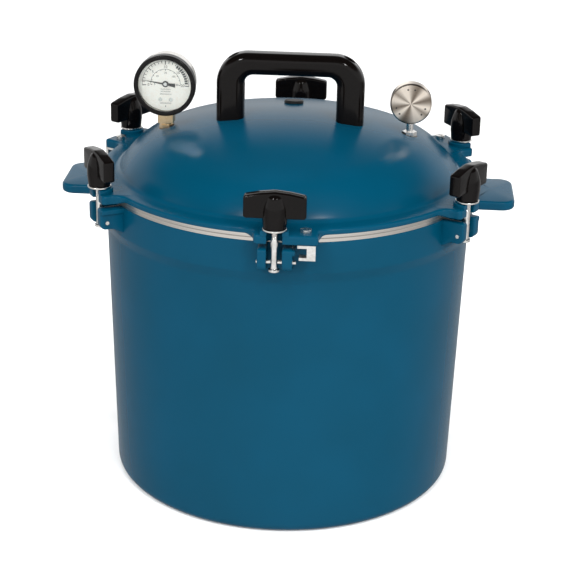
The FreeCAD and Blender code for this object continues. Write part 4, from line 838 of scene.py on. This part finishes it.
def black_print():
    """Black screen ink and pointer paint: satin, its density uneven over 1 mm."""
    made, tree = material("black_screen_ink")
    at = node(tree, "ShaderNodeTexCoord").outputs["Object"]
    cloud = node(tree, "ShaderNodeTexNoise", {"Vector": at, "Scale": 1 / (1 * MM), "Detail": 1})
    colour = node(tree, "ShaderNodeMix", {
        0: cloud.outputs["Fac"], 6: linear("#000000"), 7: linear("#222222")}, data_type="RGBA")
    shader = node(tree, "ShaderNodeBsdfPrincipled", {
        "Base Color": colour.outputs[2], "Roughness": 0.45})
    node(tree, "ShaderNodeOutputMaterial", {"Surface": shader.outputs[0]})
    return made


print_ink = black_print()
dress("gauge_bezel", gauge_plastic())
dress("gauge_case", drawn_case())
dress("gauge_lens", acrylic())
dress("gauge_dial", dial_paint())
dress("gauge_pointer", print_ink)
DIAL_Z, DIAL_Y, PROUD, SUNK = 356.19, -5.6, 0.06, 0.02
CAP_R, CAP_T = 1.7, 0.35
pointer_face = span("gauge_pointer")[0][1]
cap = lathe(rounded([(0, 0), (CAP_R, 0), (CAP_R, CAP_T, 0.2), (0, CAP_T)]), 32)
cap = np.stack([cap[..., 0] - GAUGE_X, pointer_face - cap[..., 2], cap[..., 1] + DIAL_Z], -1)
rides(skin("arbor_end", cap, [steel]), "pointer", "bright_steel")
printed = []


def bar(radius_in, radius_out, from_deg, to_deg):
    """A printed sector of the dial between two radii and two clock angles, PROUD of its face."""
    a = np.radians(np.linspace(from_deg, to_deg, max(2, int(abs(to_deg - from_deg) / 3) + 2)))
    edge = np.concatenate([np.stack([radius_in * np.sin(a), radius_in * np.cos(a)], 1),
                           np.stack([radius_out * np.sin(a), radius_out * np.cos(a)], 1)[::-1]])
    rows = np.stack([np.column_stack([edge[:, 0] - GAUGE_X, np.full(len(edge), y), edge[:, 1] + DIAL_Z])
                     for y in (DIAL_Y + SUNK, DIAL_Y - PROUD)])
    count = len(a)
    front = np.arange(count * 2) + count * 2
    strip = np.stack([front[:count - 1], front[1:count], front[::-1][1:count], front[::-1][:count - 1]], 1)
    mesh = bpy.data.meshes.new("bar")
    ring = np.stack([np.arange(count * 2), np.roll(np.arange(count * 2), -1),
                     np.roll(np.arange(count * 2), -1) + count * 2, np.arange(count * 2) + count * 2], 1)
    mesh.from_pydata((rows.reshape(-1, 3) * MM).tolist(), [],
                     strip.tolist() + (strip - count * 2)[:, ::-1].tolist() + ring.tolist())
    work = bmesh.new()
    work.from_mesh(mesh)
    bmesh.ops.recalc_face_normals(work, faces=work.faces)
    work.to_mesh(mesh)
    work.free()
    return show("bar", mesh, [print_ink])


def letters(body, size, x, z):
    """Flat printed characters centred at x, z from the middle of the dial."""
    curve = bpy.data.curves.new("print", "FONT")
    curve.body, curve.size, curve.align_x, curve.align_y = body, size * MM, "CENTER", "CENTER"
    curve.extrude, curve.resolution_u = PROUD / 2 * MM, 3
    text = bpy.data.objects.new("print", curve)
    bpy.context.scene.collection.objects.link(text)
    bpy.context.view_layer.update()
    mesh = bpy.data.meshes.new_from_object(text.evaluated_get(bpy.context.evaluated_depsgraph_get()))
    bpy.data.objects.remove(text)
    mesh.transform(Matrix.Translation(Vector((x - GAUGE_X, DIAL_Y - PROUD / 2, z + DIAL_Z)) * MM)
                   @ Matrix.Rotation(math.pi / 2, 4, "X"))
    printed.append(show("print", mesh, [print_ink]))


# Two scales share one sweep of clock angles: the outer from 0 to 20, the inner seven times it.
FIRST, LAST, STEPS, NUMBERED, INNER_TIMES = -95.0, 95.0, 20, 5, 7
OUTER_TICK, OUTER_LONG, OUTER_SHORT, OUTER_NUMBER, OUTER_SIZE = 20.4, 17.0, 18.2, 15.0, 3.4
INNER_TICK, INNER_LONG, INNER_SHORT, INNER_NUMBER, INNER_SIZE = 13.0, 11.6, 12.0, 9.6, 2.4
BLOCKS, BLOCK_IN, BLOCK_OUT, BLOCK_FIRST, BLOCK_WIDE, BLOCK_STEP = 9, 16.9, 19.6, 32, 5, 6.6
for step in range(STEPS + 1):
    angle = FIRST + (LAST - FIRST) * step / STEPS
    long = step % NUMBERED == 0
    half_wide = 1.1 if long else 0.7
    if long or angle < BLOCK_FIRST - 2:
        printed.append(bar(OUTER_LONG if long else OUTER_SHORT, OUTER_TICK, angle - half_wide,
                           angle + half_wide))
    if step % 2 == 0:
        printed.append(bar(INNER_LONG if long else INNER_SHORT, INNER_TICK, angle - 1.2, angle + 1.2))
printed += [bar(OUTER_TICK - 0.2, OUTER_TICK + 0.1, FIRST, LAST),
            bar(INNER_TICK - 0.2, INNER_TICK + 0.1, FIRST, LAST)]
for block in range(BLOCKS):
    printed.append(bar(BLOCK_IN, BLOCK_OUT, BLOCK_FIRST + BLOCK_STEP * block,
                       BLOCK_FIRST + BLOCK_WIDE + BLOCK_STEP * block))
for step in range(0, STEPS + 1, NUMBERED):
    angle = math.radians(FIRST + (LAST - FIRST) * step / STEPS)
    letters(str(step), OUTER_SIZE, OUTER_NUMBER * math.sin(angle), OUTER_NUMBER * math.cos(angle))
    letters(str(step * INNER_TIMES), INNER_SIZE, INNER_NUMBER * math.sin(angle),
            INNER_NUMBER * math.cos(angle))
# Rows of plain strokes stand for small print, and one short bar for the mark at the foot.
for height, size, strokes in ((-4.8, 1.3, 26), (-6.9, 1.3, 26), (-9.2, 1.3, 30), (-17.3, 1.5, 26)):
    letters("|" * strokes, size, 0, height)
printed.append(bar(19.6, 20.8, 179, 181))
rides(merged("dial_print", printed, [print_ink]), "lid", "dial_white")


# ================================================================ floor, light and camera
# A pale seamless floor in a white room, lit softly from the front, above and both sides. The
# floor and the large lamps don't show in reflections, so the enamel keeps its depth. The room
# and two small lamps do, and give the gloss its highlights.

def studio_floor():
    """Matt white board with an unevenness 40 mm wide too faint to draw the eye."""
    made, tree = material("matt_white_board")
    at = node(tree, "ShaderNodeTexCoord").outputs["Object"]
    cloud = node(tree, "ShaderNodeTexNoise", {"Vector": at, "Scale": 1 / (40 * MM), "Detail": 2})
    colour = node(tree, "ShaderNodeMix", {
        0: cloud.outputs["Fac"], 6: linear("#f0f0f0"), 7: linear("#fefefe")}, data_type="RGBA")
    shader = node(tree, "ShaderNodeBsdfPrincipled", {
        "Base Color": colour.outputs[2], "Roughness": 0.85})
    node(tree, "ShaderNodeOutputMaterial", {"Surface": shader.outputs[0]})
    return made


FLOOR_HALF = 12000.0
corners = np.array([[(-1, -1, 0), (1, -1, 0)], [(-1, 1, 0), (1, 1, 0)]]) * FLOOR_HALF
mesh = bpy.data.meshes.new("studio_floor")
mesh.from_pydata((corners.reshape(-1, 3) * MM).tolist(), [], [(0, 1, 3, 2)])
floor = show("studio_floor", mesh, [studio_floor()])
floor.visible_glossy = False

world = bpy.data.worlds.new("soft_white_room")
bpy.context.scene.world = world
world.use_nodes = True
tree = world.node_tree
tree.nodes.clear()
way = node(tree, "ShaderNodeTexCoord").outputs["Generated"]
split = node(tree, "ShaderNodeSeparateXYZ", {0: way})
above = node(tree, "ShaderNodeMapRange", {"Value": split.outputs["Z"], 1: 0.36, 2: 0.52, 3: 1.2, 4: 0.08})
below = node(tree, "ShaderNodeMapRange", {"Value": split.outputs["Y"], 1: -0.75, 2: -0.1, 3: 1.0, 4: 0.5})
# The room is brightest in a band above the horizon, and below it towards the front.
horizon = node(tree, "ShaderNodeMapRange", {"Value": split.outputs["Z"], 1: -0.03, 2: 0.03})
bright = node(tree, "ShaderNodeMix", {0: horizon.outputs[0], 2: below.outputs[0], 3: above.outputs[0]})
sky = node(tree, "ShaderNodeBackground", {"Color": (1, 1, 1, 1), "Strength": bright.outputs[0]})
node(tree, "ShaderNodeOutputWorld", {"Surface": sky.outputs[0]})


def lamp(name, kind, place, target, power, **settings):
    """A lamp at place facing target, in metres, with its power and settings."""
    light = bpy.data.lights.new(name, kind)
    light.energy = power
    for key, value in settings.items():
        setattr(light, key, value)
    made = bpy.data.objects.new(name, light)
    made.location = place
    made.rotation_euler = (Vector(target) - Vector(place)).to_track_quat("-Z", "Y").to_euler()
    bpy.context.scene.collection.objects.link(made)
    return made


for name, x in (("left_spark", -0.55), ("right_spark", 0.65)):
    lamp(name, "AREA", (x, -1.3, 1.35), (0, 0, 0.3), 7.0, shape="SQUARE", size=0.12)
SOFT = {"shape": "RECTANGLE", "size": 1.0, "size_y": 1.0}
for made in (lamp("front_fill", "SUN", (0.3, -1.6, 1.9), (0, 0, 0.1), 3.7, angle=math.radians(70)),
             lamp("top_softbox", "AREA", (-0.2, 0.5, 1.6), (0, 0, 0.3), 9, **SOFT),
             lamp("left_softbox", "AREA", (-1.7, -0.1, 0.9), (0, 0, 0.25), 6, **SOFT),
             lamp("right_softbox", "AREA", (1.7, -0.3, 0.9), (0, 0, 0.25), 9, **SOFT)):
    made.visible_glossy = False

EYE, TARGET = Vector((0.0827, -1.4339, 0.7382)), Vector((0, 0, 0.150))
ROLL = math.radians(1.27)
lens = bpy.data.cameras.new("camera")
lens.lens, lens.sensor_width, lens.shift_x, lens.shift_y = 105.8, 36.0, 0.0036, 0.0309
camera = bpy.data.objects.new("camera", lens)
look = (TARGET - EYE).to_track_quat("-Z", "Y").to_matrix().to_4x4()
camera.matrix_world = Matrix.Translation(EYE) @ look @ Matrix.Rotation(ROLL, 4, "Z")
bpy.context.scene.collection.objects.link(camera)
bpy.context.scene.camera = camera
bpy.context.scene.view_settings.view_transform = "Standard"
